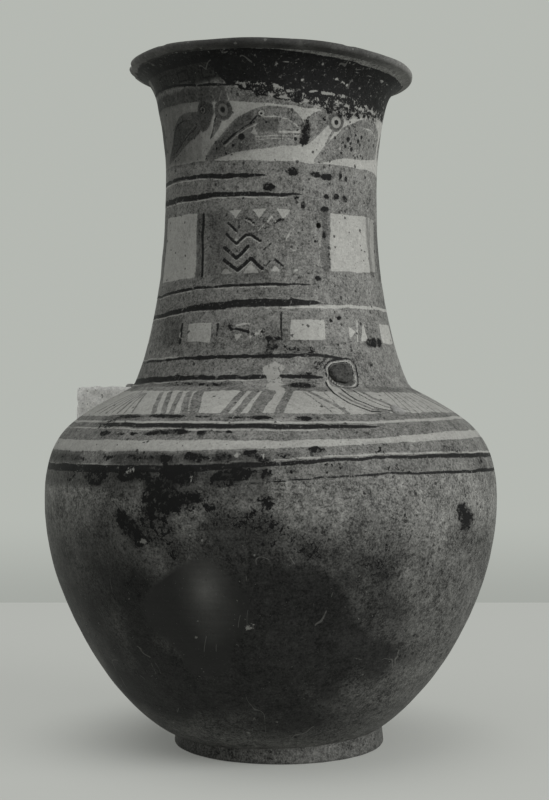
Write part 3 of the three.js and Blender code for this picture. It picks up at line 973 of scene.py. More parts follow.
# Leaning bars on the shoulder: turn at the top, turn at the bottom, width in millimetres. Those at
# the back come in sets: first turn, lean in degrees, how many. Fine lines have no width of their own
BARS = (
    (-41.4, -35.9, 3.0), (-37.3, -32.3, 3.2), (-32.8, -29.4, 3.2), (-29, -25.4, 4.0), (-25, -22.3, 5.6),
    (-10.1, -12.8, 4.0), (-6, -9.3, 4.2), (-1.2, -4.3, 7.4), (5.6, 2.4, 4.6), (14.4, 21.4, 2.4),
)
BACK_BARS = ((66, 5, 4), (96, -4, 5), (132, 5, 4), (164, -4, 5), (202, 5, 5), (234, -4, 5))
FINE_LINES = (
    (-50, -44.5), (-51.5, -48), (-53, -51), (-54.6, -54), (-56.4, -57.4), (-58.4, -61), (-60.6, -65),
    (12, 16.6), (18.8, 20.6), (44, 42), (46.5, 44.6), (49, 47.4), (52, 50.6), (55, 54), (58.5, 58),
    (62, 62), (84, 86), (88, 90), (120, 118), (124, 122), (152, 154), (156, 158), (188, 186), (192, 190),
    (222, 224), (226, 228), (256, 252), (260, 256), (264, 260), (268, 264),
)
FRINGE_MIDDLE = 202
BACK_BAR_STEP = 4.6
BACK_BAR_WIDTH = 3.2


def paint_fringe(skin):
    """A pale zone under the neck, crossed by leaning grey bars and fine brush lines."""
    low = {-70: 194.4, -38: 195.4, -20: 196.2, 5: 196, 19: 195.4, 49: 196.4, 180: 195.4}
    high = {-70: 208.8, -30: 208.2, 0: 208, 30: 207.6, 60: 207.4, 180: 208}
    skin.band("pale", skin.around(low), skin.around(high), 0.3)
    tops = [(first + BACK_BAR_STEP * step, swing)
            for first, swing, count in BACK_BARS for step in range(count)]
    back = [(top, top + swing, BACK_BAR_WIDTH) for top, swing in tops]
    fine = [(top, bottom, 1.0 if 0 < top < 100 else 1.4) for top, bottom in FINE_LINES]
    radius = radius_at(FRINGE_MIDDLE / MM) * MM
    for top, bottom, width in (*BARS, *back, *fine):
        brush = Brush(skin, (top + bottom) / 2, FRINGE_MIDDLE, 45)
        aside = math.radians(bottom - top) / 2 * radius
        brush.line("grey", [(-aside * 1.2, 11), (-aside * 0.1, 1), (aside * 1.25, -11.5)], width)


def paint_shoulder_lines(skin):
    """Bands round the shoulder, and the edge of the slip on the belly."""
    skin.ring("pale", {-90: 191.4, 28: 191.3, 68: 193.4, 180: 192}, {-180: 1.1, 20: 1.1, 68: 1.5}, 0.06)
    widths = {-180: 2.6, -104: 2.6, -86: -1, -56: -1, -48: 2.2, 10: 2.5, 24: 1.4, 36: -1, 92: -1, 110: 2.6}
    skin.ring("dark", {-90: 189.9, -54: 189.9, 0: 189.3, 23: 189, 40: 190, 180: 190}, widths, 0.08)
    widths = {-180: 0.8, 10: 0.7, 24: -1, 92: -1, 110: 0.8}
    skin.ring("pale", {-90: 187.8, -54: 187.8, 0: 187.3, 180: 187.8}, widths, 0.05)
    low = {-90: 175, -50: 175.4, -23: 176.4, 1: 178.2, 26: 180.2, 54: 181.8, 90: 182, 180: 178}
    high = {-90: 181, -50: 181.4, -23: 182, 1: 182, 26: 183, 54: 186, 90: 186, 180: 182}
    skin.band("pale", skin.around(low), skin.around(high), 0.12)
    heights = {-90: 165.4, -54: 166, -32: 167, -16: 168, -5: 169.4, 7: 171.2, 25: 173.2, 53: 172.9, 180: 168}
    widths = {-90: 4.0, -32: 3.9, -16: 3.2, -5: 2.6, 7: 1.9, 25: 1.5, 50: 2.4, 90: 2.8, 180: 3.2}
    skin.ring("dark", heights, widths, 0.12)
    above = {turn: height + 2.4 - abs(turn + 50) / 150 for turn, height in heights.items()}
    skin.ring("pale", above, {-90: 0.4, -5: 0.6, 25: 0.9, 90: 1.2, 180: 0.7}, 0.06)
    edge = skin.around({-72: 155, -35: 155.8, -16: 156.8, -1: 160.2, 12: 162.6, 24: 163.7, 53: 163.6, 90: 162,
                        130: 158, 180: 156, 240: 155})
    bare = skin.along - along_mm(edge) + 0.07 * skin.lumps
    skin.fields["bare"] = np.where(skin.outer, bare, skin.fields["bare"])
    where = np.flatnonzero(skin.outer & (bare > -FAR) & (bare < FAR))
    width = skin.around({-20: 0, 0: 0.9, 35: 1.2, 60: 1.9, 90: 2.0, 130: 0})[where]
    skin.lay("dark", where, np.abs(bare[where] - 0.9) - width / 2 + 0.06 * skin.stir[where])
    wash_along(skin, "cloud", range(-92, -16, 7), 161, oblong(-9, -5, 9, 7), 0.6, 2.5)
    wash_along(skin, "cloud", range(-86, -52, 7), 171, oblong(-9, -4, 9, 4), 0.45, 3)


# Marks below and round the lost handle
SCAR_RING = [(-9.8, 2.6), (-8, 6), (-3.9, 8.4), (2, 9), (7.6, 9.8), (11, 7), (12, 2.6), (11, -3),
             (9.3, -7.4), (4, -10.5), (-2, -10), (-8.4, -4)]
LEFT_TRAIL = [(-11, -5), (-11, -16), (-8, -28), (1, -36.5), (13, -37.5)]
RIGHT_TRAIL = [(-4, -11), (-2, -24), (6, -32.6), (17, -36.6)]
SPLASH = [(-6, 1), (-4, 6), (-1, 7), (1, 8.4), (5, 7), (7.4, 3), (4.4, 0), (4.6, -3), (7, -6), (4, -8),
          (9, -13), (4, -17), (0, -12), (-5, -14), (-4, -8), (-3, -3)]


def paint_breaks(skin):
    """Marks left round the lost handle, and a splash of pale slip beside it."""
    scar = Brush(skin, NECK_SCAR[0], NECK_SCAR[1] * MM)
    ring = rounded(SCAR_RING, 1)
    scar.shape("grey", ring)
    scar.loop("dark", ring, 1.0)
    scar.wash("dust", ring * 0.94, 0.5, 1.0)
    scar.loop("pale", ring * 0.86, 0.7)
    scar.wash("dust", ring * 0.7, -1.0, 0.6)
    scar.loop("dark", ring * 0.78, 0.6)
    scar.wash("cloud", ring * 0.78, 0.75, 0.6)
    scar.shape("pale", LEFT_TRAIL + RIGHT_TRAIL[::-1])
    for trail in (LEFT_TRAIL, RIGHT_TRAIL):
        scar.line("pale", [(x + 1.4, y + 1.2) for x, y in trail], 1.2)
        scar.line("dark", trail, 1.2)
    scar.line("grey", [(-7.4, -16), (-5, -26), (3, -34.4), (12, -37)], 1.8)
    scar.line("dark", [(3, -13), (7, -24), (14, -31), (22, -35)], 0.9)
    scar.line("grey", [(6, -12), (11, -22), (19, -30), (27, -34)], 2.0)
    splash = Brush(skin, 0.5, 217, 40)
    splash.wash("dust", rounded(SPLASH), 1.0, 1.6)
    splash.dot("dark", 0.6, -3.6, 1.5)
    splash.dot("pale", 0.6, -3.6, 0.7)


# Deposit, fire clouds and pale dust: turn, height, half the breadth, half the height up the wall, strength
NECK_SOOT = (
    (18, 355, 3.8, 9, 1.0), (16.4, 349, 3, 4, 0.9), (30, 367, 6, 4, 0.85), (36, 366, 4, 3, 0.8),
    (27, 362, 4, 4, 0.7), (41, 365, 3, 3, 0.8), (55, 368, 24, 4, 0.8), (0, 373, 20, 4, 0.8),
    (-12, 378, 14, 5, 0.8), (11, 330.6, 6, 4, 1.0), (23, 330.2, 7, 3, 1.0), (29, 329.6, 9, 3, 1.0),
    (38.5, 331, 2.4, 4, 1.0), (43, 330, 3, 3, 1.0), (49, 329, 3, 3, 0.9), (30, 318.5, 3, 2.2, 1.0),
    (36, 319, 3, 2.6, 1.0), (42, 318.4, 3, 3, 1.0), (-0.6, 322, 4.4, 2.8, 1.0), (17, 312.9, 2.4, 4, 1.0),
    (28.4, 311, 4.4, 2.8, 1.0), (13, 316.4, 2.4, 2, 0.9), (5.4, 303.6, 3, 2.2, 0.95),
    (27.3, 296.7, 1.5, 2.6, 0.9), (23, 292.6, 1.8, 1.5, 0.9), (23.1, 271.8, 2.6, 2, 0.9),
    (14.1, 271, 2.6, 2, 0.8), (-8.6, 289.3, 2, 1.7, 0.9), (29.7, 284, 2.4, 1.6, 0.8),
    (50, 352, 20, 9, 0.4), (33.1, 249.6, 3, 2.4, 1.0), (28.4, 248, 1.8, 1.8, 0.9),
    (30.7, 234.4, 2.4, 2, 0.95), (34.4, 235.4, 3, 3.4, 1.0), (49, 235.6, 4, 3.8, 1.0),
    (53, 236.2, 3.6, 4, 1.0), (57.5, 236.4, 3.6, 4, 0.95), (0.4, 232.5, 7, 4, 0.9),
    (-1.7, 228.8, 6, 3.4, 0.8), (8.2, 230.8, 12, 4, 0.75), (15, 231, 10, 4, 0.7), (0, 237, 8, 3, 0.8),
    (-20, 244, 6, 5, 0.6), (-10, 242, 5, 3, 0.6), (47.1, 223.6, 2, 2, 0.9), (10, 211, 13, 4, 1.0),
    (14, 217, 14, 3, 0.7), (-20, 212, 18, 3, 0.7), (-40, 212, 26, 3, 0.6), (-30, 298, 8, 16, 0.45),
    (-12, 300, 18, 12, 0.4), (-6, 238, 30, 10, 0.4), (14, 296, 2.4, 2, 0.8), (-55, 345, 12, 22, 0.4),
    (-20, 345, 16, 12, 0.45), (-4, 262, 50, 4, 0.4), (-10, 220, 40, 5, 0.45), (-30, 392, 20, 3, 0.6),
    (20, 222, 14, 6, 0.5), (150, 352, 16, 10, 0.6), (200, 300, 14, 12, 0.55), (120, 244, 18, 8, 0.6),
    (240, 330, 16, 5, 0.6), (180, 225, 20, 6, 0.6),
)
SHOULDER_SOOT = (
    (-41, 184.8, 9, 3.4, 1.0), (-37, 185.4, 6, 3, 1.0), (-30, 185.6, 13, 3.4, 1.0),
    (-23, 186.4, 9, 2.6, 1.0), (-17, 185.6, 4, 2.4, 1.0), (-10.5, 186.4, 3.4, 2, 1.0),
    (-13, 186.4, 4, 1.6, 0.9), (-42, 194.2, 18, 3.2, 0.95), (-30, 194.4, 18, 3.4, 1.0),
    (-18, 194.2, 14, 3.2, 0.95), (-9, 194, 14, 3.4, 1.0), (-3, 193.6, 9, 3, 1.0), (-22, 167, 14, 5, 1.0),
    (-6, 166.6, 17, 4.6, 1.0), (-48, 185, 7, 3, 0.9), (9, 193.4, 6, 2.2, 0.95), (-30, 172.6, 14, 4, 0.85),
    (-24.9, 172.8, 13, 5, 1.0), (-18, 173.4, 12, 4.6, 1.0), (-11.5, 173.1, 14, 5.6, 1.0),
    (-4.6, 174.7, 9, 4.4, 1.0), (-2, 172, 8, 4, 0.95), (10, 177.6, 8, 4, 0.95), (3, 175, 10, 4, 0.75),
    (-42, 172.4, 16, 3, 0.6), (-35, 163, 16, 6, 0.9), (-30.9, 163.8, 15, 7, 1.0), (-26, 158, 16, 8, 1.0),
    (-20.6, 164.3, 19, 7, 1.0), (-7.8, 164.6, 17, 6, 1.0), (-1.2, 165, 8, 6, 1.0), (-12, 161, 9, 4, 0.8),
    (5, 166.4, 7, 4, 0.8), (-25, 151, 18, 8, 1.0), (-18, 151.6, 12, 7, 0.95), (-46, 163, 20, 6, 0.8),
    (-56, 162, 16, 6, 0.6), (-52, 171, 14, 3, 0.6), (-62, 172.6, 10, 6, 0.6), (14, 168, 14, 4, 0.6),
    (-52, 191, 12, 9, 0.6), (26, 178, 12, 6, 0.5), (30, 167, 20, 4, 0.45), (50, 176, 20, 6, 0.5),
    (64, 168, 14, 6, 0.6), (110, 174, 36, 6, 0.75), (160, 190, 30, 5, 0.65), (200, 166, 50, 7, 0.8),
    (250, 180, 26, 7, 0.65),
)
BELLY_SOOT = (
    (-36, 142, 8, 6, 1.0), (-34.6, 137.5, 8, 7, 1.0), (-31.5, 129.9, 6, 5, 1.0), (-27, 146, 14, 10, 0.9),
    (-26, 134, 15, 12, 0.7), (-20, 150, 22, 8, 0.85), (-21, 126, 12, 9, 0.6), (-12, 145, 20, 9, 0.65),
    (52.8, 138, 11, 10, 1.0), (50.5, 143, 9, 7, 1.0), (-1, 152, 10, 7, 0.8), (-4, 143, 16, 9, 0.65),
    (1, 134, 18, 12, 0.58), (8, 124, 16, 10, 0.6), (24, 115, 20, 12, 0.5), (30, 135, 36, 20, 0.4),
    (50, 122, 26, 9, 0.4), (2, 104, 10, 24, 0.5), (14, 96, 20, 18, 0.4), (50, 84, 9, 12, 0.5),
    (-34, 100, 16, 18, 0.5), (-30, 60, 28, 18, 0.44), (130, 130, 26, 14, 0.65), (190, 140, 30, 12, 0.6),
    (250, 120, 24, 16, 0.6),
)
FIRE_CLOUDS = (
    (-6, 92, 112, 66, 1.0), (-18, 50, 110, 46, 1.0), (8, 112, 72, 34, 0.8), (-40, 106, 64, 56, 0.8),
    (20, 66, 66, 40, 0.8), (-6, 132, 64, 30, 0.72), (-40, 132, 54, 30, 0.72), (-62, 90, 70, 70, 0.6),
    (-50, 40, 70, 40, 0.7), (10, 28, 70, 26, 0.7), (52, 128, 20, 26, 0.3), (30, 122, 16, 12, 0.35),
    (140, 100, 70, 50, 0.7), (215, 80, 80, 60, 0.6),
)
SHINY_CLOUD = [(2, 28), (14, 18), (27, 2), (24, -10), (12, -24), (6, -44), (-14, -44), (-20, -26), (-38, -14),
               (-36, 2), (-24, 14), (-10, 22)]
DUST = (
    (9.6, 148, 1.2, 3, 0.8), (11.4, 144.4, 1.2, 3.4, 0.8), (13, 141, 1.2, 2, 0.7), (-12, 346, 4, 3, 0.5),
    (24, 280, 2, 3, 0.9), (25.2, 288, 1.2, 10, 0.75), (-46, 238, 10, 6, 0.4), (20, 306, 12, 8, 0.35),
    (0, 377, 20, 5, 0.5), (10, 371, 16, 3, 0.6), (40, 374, 30, 6, 0.4), (6, 362, 2, 3, 0.6),
    (-38, 150, 3, 2, 0.7), (-30, 129, 3, 2.4, 1.0), (-14, 173, 2, 3, 0.95), (-8, 174, 3, 2.4, 0.95),
    (-2, 174, 1.6, 4, 0.95), (-18, 164, 1.4, 5, 0.9), (-34, 166, 5, 3, 0.7), (-18, 133, 2, 3, 0.9),
    (30, 146, 14, 10, 0.4), (44, 132, 18, 18, 0.4), (-62, 96, 24, 20, 0.26), (-10, 194, 2, 1.6, 1.0),
    (0, 8, 200, 9, 0.42), (-5, 86, 5, 3, 0.8), (120, 120, 30, 30, 0.3), (250, 160, 30, 20, 0.3),
)


def gather(skin, name, places):
    """Lets soot, dust or fire clouds gather at some places."""
    for turn, height, across, up, strength in places:
        Brush(skin, turn, height, max(STAIN_REACH, across)).stain(name, across, up, strength)


def mark_fires(skin):
    """Marks of the firing: clouds, and one shiny patch with a paler heart, a painted highlight."""
    gather(skin, "cloud", FIRE_CLOUDS)
    shiny = Brush(skin, -16, 97)
    patch = rounded(SHINY_CLOUD, 1)
    shiny.wash("cloud", patch, 1.0, 1.6)
    shiny.wash("shine", patch, 1.0, 1.6)
    for name in ("soot", "dust"):
        shiny.wash(name, patch, -1.0, 1.6)
    # Painted highlight: the cloud is thinned to a paler heart in the shiny patch
    for size in (22, 11):
        Brush(skin, -15.4, 104, 60).stain("cloud", size, size * 1.4, -0.3)
    gather(skin, "dust", DUST)


def darken_slip_edge(skin):
    """Darkens the lower edge of the slip, at the front and on the left."""
    wash_along(skin, "cloud", range(-38, 2, 5), 164, oblong(-6, -12, 6, 12), 0.75, 3.0)
    wash_along(skin, "cloud", range(-76, -54, 5), 171.5, oblong(-6, -3, 6, 3), 0.8, 2.0)


def paint_vessel(mesh):
    """Paints the slip, the lines and the figures on one wall. Painted light makes the right side of the neck
    paler.
    """
    skin = Skin(mesh)
    # Painted light and shade by turn: the neck is painted paler on the right, the shoulder painted darker
    # there
    painted_light_by_turn = skin.around({-20: 0, 10: 0.08, 35: 0.16, 85: 0.16, 120: 0})
    on_neck = skin.along > along_mm(NECK_BASE_HEIGHT * MM)
    skin.strengths["cloud"] -= painted_light_by_turn * np.where(on_neck, 1, -0.5)
    # Painted light: the shoulder is painted paler on the left and front
    skin.strengths["cloud"] -= skin.around({-76: 0, -60: 0.14, -12: 0.12, 6: 0, 180: 0}) * ~on_neck
    darken_slip_edge(skin)
    paint_birds(skin)
    paint_rim_band(skin)
    paint_neck_lines(skin)
    paint_panels(skin)
    paint_square_row(skin)
    paint_fringe(skin)
    paint_shoulder_lines(skin)
    paint_breaks(skin)
    gather(skin, "soot", NECK_SOOT + SHOULDER_SOOT + BELLY_SOOT)
    mark_fires(skin)
    skin.store(mesh)


def mark_clay(mesh):
    """Marks fire clouds and soot on a wall that has no slip."""
    skin = Skin(mesh)
    darken_slip_edge(skin)
    gather(skin, "soot", SHOULDER_SOOT + BELLY_SOOT)
    mark_fires(skin)
    skin.store(mesh)


# Painted shade on the lip by turn: darkest at the front, none on the right
LIP_SHADE = {-100: 0.1, -75: 0.2, -50: 0.7, -20: 0.92, 15: 0.92, 35: 0.78, 55: 0.4, 72: 0, 180: 0.2}


def paint_lip(mesh):
    """Paints shade onto the lip, darkest at the front, and darkens its underside where the rim's black paint
    runs onto it.
    """
    skin = Skin(mesh)
    seam = along_mm(LIP_SEAM_HEIGHT)
    under = 1 - smoothstep(skin.along + 0.3 * skin.lumps, seam, seam + 1.2)
    under *= skin.outer * skin.around({-30: 1, 0: 0.5, 15: 0, 100: 0, 130: 1})
    shade = skin.around(LIP_SHADE) + 0.06 * skin.stir
    skin.strengths["cloud"] = np.clip(np.maximum(under, shade), 0, 1)
    skin.store(mesh)


# Materials


class Nodes:
    """Adds nodes to one tree, with short names for the kinds that are used most."""

    def __init__(self, tree):
        self.tree = tree

    def add(self, kind, inputs=None, **settings):
        """A new node with its settings made and its inputs set or linked."""
        node = self.tree.nodes.new(kind)
        for name, value in settings.items():
            setattr(node, name, value)
        for name, value in (inputs or {}).items():
            if isinstance(value, bpy.types.NodeSocket):
                self.link(value, node.inputs[name])
            else:
                node.inputs[name].default_value = value
        return node

    def link(self, value, socket):
        """Feeds a value to a socket."""
        self.tree.links.new(value, socket)

    def group(self, find, **inputs):
        """The outputs of a shared node group, placed with its own values."""
        named = {name.replace("_", " "): value for name, value in inputs.items()}
        return self.add("ShaderNodeGroup", named, node_tree=find()).outputs

    def maths(self, operation, first, second=0.0, third=0.0):
        """The result of one Math node."""
        return self.add("ShaderNodeMath", {0: first, 1: second, 2: third}, operation=operation).outputs[0]

    def plus(self, first, second):
        """The sum of two values."""
        return self.maths("ADD", first, second)

    def minus(self, first, second):
        """The first value less the second."""
        return self.maths("SUBTRACT", first, second)

    def times(self, first, second):
        """The product of two values."""
        return self.maths("MULTIPLY", first, second)

    def scaled(self, value, by, plus):
        """A value multiplied by one amount, with another added."""
        return self.maths("MULTIPLY_ADD", value, by, plus)

    def larger(self, first, second):
        """The larger of two values."""
        return self.maths("MAXIMUM", first, second)

    def remap(self, value, low, high, to_low=0.0, to_high=1.0):
        """A value's range mapped smoothly onto another, without going beyond it."""
        ranges = {"Value": value, "From Min": low, "From Max": high, "To Min": to_low, "To Max": to_high}
        return self.add("ShaderNodeMapRange", ranges, interpolation_type="SMOOTHSTEP").outputs["Result"]

    def cover(self, below, above, mask, strength=1.0):
        """One colour covered by another where a mask is, as strongly as given."""
        share = mask if strength == 1.0 else self.times(mask, strength)
        return self.add("ShaderNodeMix", {0: share, 6: below, 7: above}, data_type="RGBA").outputs[2]

    def shaded(self, colour, factor):
        """A colour made lighter or darker by a factor."""
        if not isinstance(colour, bpy.types.NodeSocket):
            colour = colour[:3]
        return self.add("ShaderNodeVectorMath", {0: colour, 3: factor}, operation="SCALE").outputs[0]

    def place(self, scale=(1, 1, 1), shift=0.0):
        """Object coordinates, stretched along the axes and shifted to another part of a pattern."""
        inputs = {"Vector": self.add("ShaderNodeTexCoord").outputs["Object"], "Location": (shift,) * 3}
        return self.add("ShaderNodeMapping", {**inputs, "Scale": scale}).outputs["Vector"]

    def noise(self, place, scale, detail=3.0, roughness=0.6, distortion=0.0):
        """A noise value about 0.5 at a place."""
        inputs = {"Vector": place, "Scale": scale, "Detail": detail, "Roughness": roughness}
        return self.add("ShaderNodeTexNoise", {**inputs, "Distortion": distortion}).outputs["Fac"]

    def painted(self, name):
        """A value painted on the mesh."""
        return self.add("ShaderNodeAttribute", attribute_name=name).outputs["Fac"]

    def blotched(self, name, **inputs):
        """The mask of soot or dust, broken up into blots."""
        return self.group(blotches, Strength=self.painted(name), **inputs)["Mask"]


def grouped(inputs, outputs):
    """Makes a node group with these sockets, filled once and handed out again afterwards."""

    def wrap(fill):
        def find():
            name = fill.__name__.replace("_", " ")
            if name in bpy.data.node_groups:
                return bpy.data.node_groups[name]
            tree = bpy.data.node_groups.new(name, "ShaderNodeTree")
            for label, default in inputs.items():
                kind = "NodeSocketFloat" if isinstance(default, float) else "NodeSocketColor"
                tree.interface.new_socket(label, in_out="INPUT", socket_type=kind).default_value = default
            for label in outputs:
                kind = "NodeSocketColor" if label == "Color" else "NodeSocketFloat"
                tree.interface.new_socket(label, in_out="OUTPUT", socket_type=kind)
            given = tree.nodes.new("NodeGroupInput").outputs
            fill(Nodes(tree), given, tree.nodes.new("NodeGroupOutput").inputs)
            return tree

        return find

    return wrap


@grouped({"Distance": 1.0, "Raggedness": 0.4}, ("Mask",))
def ragged_edge(n, given, out):
    """Turns the distance to a painted edge into a mask with a brushed, slightly broken edge."""
    place = n.place()
    both = n.plus(n.noise(place, 420, 4, 0.7), n.noise(place, 1700, 3, 0.7))
    swing = n.times(n.minus(both, 1.0), given["Raggedness"])
    n.link(n.remap(n.scaled(swing, 2.4, given["Distance"]), 0.16, -0.16), out["Mask"])


@grouped({"Scale": 300.0, "Size": 0.2, "Share": 0.5}, ("Mask",))
def specks(n, given, out):
    """Small separate spots of many sizes."""
    place = n.place()
    wobble = n.add("ShaderNodeTexNoise", {"Vector": place, "Scale": 900.0, "Detail": 2.0}).outputs["Color"]
    moved = n.add("ShaderNodeVectorMath", {0: wobble, 1: (0.0016,) * 3, 2: place}, operation="MULTIPLY_ADD")
    cells = n.add("ShaderNodeTexVoronoi", {"Vector": moved.outputs[0], "Scale": given["Scale"]}).outputs
    lot = n.add("ShaderNodeSeparateColor", {"Color": cells["Color"]}).outputs
    kept = n.maths("LESS_THAN", lot["Red"], given["Share"])
    gap = n.minus(cells["Distance"], n.times(given["Size"], lot["Green"]))
    n.link(n.times(n.remap(gap, 0.05, -0.05), kept), out["Mask"])


@grouped({"Scale": 40.0, "Width": 0.004, "Share": 0.5}, ("Mask",))
def hairlines(n, given, out):
    """Long thin scratches that wander and stop."""
    ground = n.noise(n.place((1.0, 1.0, 0.45)), given["Scale"], 2, 0.5, 0.6)
    thin = n.maths("LESS_THAN", n.maths("ABSOLUTE", n.minus(ground, 0.5)), given["Width"])
    kept = n.maths("LESS_THAN", n.noise(n.place(), 60, 2), given["Share"])
    n.link(n.times(thin, kept), out["Mask"])


@grouped({"Strength": 0.0, "Scatter": 0.0, "Seed": 0.0, "Film": 0.0}, ("Mask",))
def blotches(n, given, out):
    """Patches that break up into blots and grains where their strength falls."""
    place = n.add("ShaderNodeVectorMath", {0: n.place(), 1: given["Seed"]}).outputs[0]
    strength = n.larger(given["Strength"], given["Scatter"])
    blots = n.minus(n.noise(place, 300, 6, 0.74, 0.4), n.scaled(strength, -0.30, 0.71))
    grains = n.minus(n.noise(place, 780, 3, 0.7, 0.3), n.scaled(strength, -0.16, 0.70))
    broken = n.larger(n.remap(blots, 0.0, 0.03), n.times(n.remap(grains, 0.0, 0.05), 0.85))
    film = n.times(n.times(given["Strength"], given["Strength"]), given["Film"])
    n.link(n.larger(broken, film), out["Mask"])


@grouped({"Contrast": 0.3, "Scrape": 0.3}, ("Shade", "Height"))
def clay_grain(n, given, out):
    """Grain and mottling of fired clay: a colour factor about 1, and a height."""
    place = n.place()
    fine = n.noise(place, 900, 3, 0.75)
    middle = n.noise(place, 300, 4, 0.65)
    broad = n.noise(place, 45, 5, 0.6)
    scraped = n.noise(n.place((0.5, 0.5, 7.0)), 75, 3, 0.6)
    total = n.scaled(broad, 1.6, n.plus(n.times(fine, 3.2), n.times(middle, 2.2)))
    streaks = n.times(n.minus(scraped, 0.5), given["Scrape"])
    shade = n.plus(n.scaled(n.minus(total, 3.5), given["Contrast"], 1.0), streaks)
    n.link(n.larger(shade, 0.15), out["Shade"])
    height = n.plus(n.times(fine, 0.35), n.times(middle, 0.5))
    n.link(n.scaled(scraped, 0.5, height), out["Height"])


@grouped({"Light clay": (0.15, 0.15, 0.14, 1), "Dark clay": (0.03, 0.03, 0.03, 1)},
         ("Color", "Roughness", "Height", "Smooth"))
def bare_clay(n, given, out):
    """Burnished clay without slip, darkened by the fire in clouds and a little towards the foot."""
    place = n.add("ShaderNodeTexCoord").outputs["Object"]
    height = n.add("ShaderNodeSeparateXYZ", {"Vector": place}).outputs["Z"]
    drift = n.noise(n.place(), 22, 5, 0.6)
    fired = n.remap(n.scaled(n.minus(drift, 0.5), 0.16, height), 0.165, 0.095, 0.0, 0.5)
    # The cloud holds fire clouds and dirt, and painted light and shade, such as the shiny patch's painted
    # highlight
    cloud = n.painted("cloud")
    smooth = n.painted("shine")
    mottled = n.larger(n.scaled(n.minus(drift, 0.5), 0.75, cloud), 0.0)
    clouded = n.plus(n.times(mottled, 0.8), fired)
    clouded = n.add("ShaderNodeMix", {0: smooth, 2: clouded, 3: cloud}, data_type="FLOAT").outputs[0]
    colour = n.cover(given["Light clay"], given["Dark clay"], n.maths("MINIMUM", clouded, 1.0))
    contrast = n.scaled(smooth, -1.2, 1.35)
    grain = n.group(clay_grain, Contrast=contrast, Scrape=0.42)
    n.link(n.shaded(colour, grain["Shade"]), out["Color"])
    polish = n.scaled(smooth, -0.16, 0.60)
    n.link(n.scaled(n.minus(grain["Shade"], 1.0), 0.08, polish), out["Roughness"])
    n.link(n.times(grain["Height"], contrast), out["Height"])
    n.link(smooth, out["Smooth"])


def new_material(name):
    """An empty material, with its nodes and its shader's inputs."""
    if name in bpy.data.materials:
        bpy.data.materials.remove(bpy.data.materials[name])
    material = bpy.data.materials.new(name)
    material.use_nodes = True
    return material, Nodes(material.node_tree), material.node_tree.nodes["Principled BSDF"].inputs


def finish_surface(n, shader, colour, roughness, height, relief):
    """Feeds a finished colour, roughness and height to the shader."""
    shader["Specular IOR Level"].default_value = GLOSS
    bump = n.add("ShaderNodeBump", {"Strength": 1.0, "Distance": relief, "Height": height})
    n.link(colour, shader["Base Color"])
    n.link(roughness, shader["Roughness"])
    n.link(bump.outputs["Normal"], shader["Normal"])


def painted_clay(name, clay, paint):
    """Grey slip with pale slip and black paint over it, worn, specked and sooted."""
    material, n, shader = new_material(name)
    bare = n.group(bare_clay, Light_clay=clay.light, Dark_clay=clay.dark)
    grain = n.group(clay_grain, Contrast=1.0, Scrape=0.3)["Shade"]
    even = n.group(clay_grain, Contrast=0.3, Scrape=0.1)
    ragged = paint.raggedness * MM
    edges = {field: n.group(ragged_edge, Distance=n.painted(field), Raggedness=ragged * share)["Mask"]
             for field, share in (("pale", 1.0), ("dark", 1.0), ("bare", 1.5))}
    soot = n.blotched("soot", Scatter=paint.scatter, Film=0.6)
    dust = n.blotched("dust", Scatter=0.1, Seed=4.0)
    worn = n.remap(n.noise(n.place(), 260, 5, 0.72, 0.4), 0.60, 0.66)
    salt = n.remap(n.noise(n.place(shift=2.0), 760, 2, 0.6, 0.2), 0.63, 0.70)
    pepper = n.remap(n.noise(n.place(shift=7.0), 700, 2, 0.6, 0.2), 0.61, 0.68)
    dark_specks = n.group(specks, Scale=330.0, Size=0.34, Share=0.2)["Mask"]
    scratches = n.group(hairlines, Scale=34.0, Width=0.0035, Share=0.43)["Mask"]
    colour = n.cover(n.shaded(paint.grey, grain), paint.pale, salt, 0.4)
    colour = n.cover(colour, paint.black, pepper, 0.6)
    pale_slip = n.cover(n.shaded(paint.pale, even["Shade"]), paint.black, pepper, 0.16)
    colour = n.cover(colour, pale_slip, edges["pale"], 0.96)
    # Fire clouds, dirt and painted light and shade: darker above zero, paler below it
    colour = n.shaded(colour, n.scaled(n.painted("cloud"), -0.78, 1.0))
    flaked = n.larger(n.times(worn, paint.wear), n.times(salt, 0.2))
    black = n.times(edges["dark"], n.minus(1.0, flaked))
    colour = n.cover(colour, n.shaded(paint.black, grain), black)
    colour = n.cover(colour, bare["Color"], edges["bare"])
    colour = n.cover(colour, paint.black, dark_specks, 0.8)
    colour = n.cover(colour, paint.pale, scratches, 0.2)
    colour = n.cover(colour, paint.soot, soot)
    colour = n.cover(colour, paint.pale, dust, 0.8)
    height = n.scaled(dark_specks, -0.8, n.scaled(soot, 0.8, even["Height"]))
    height = n.scaled(black, 0.15, height)
    finish_surface(n, shader, colour, n.scaled(soot, 0.1, 0.62), height, PAINTED_RELIEF)
    return material


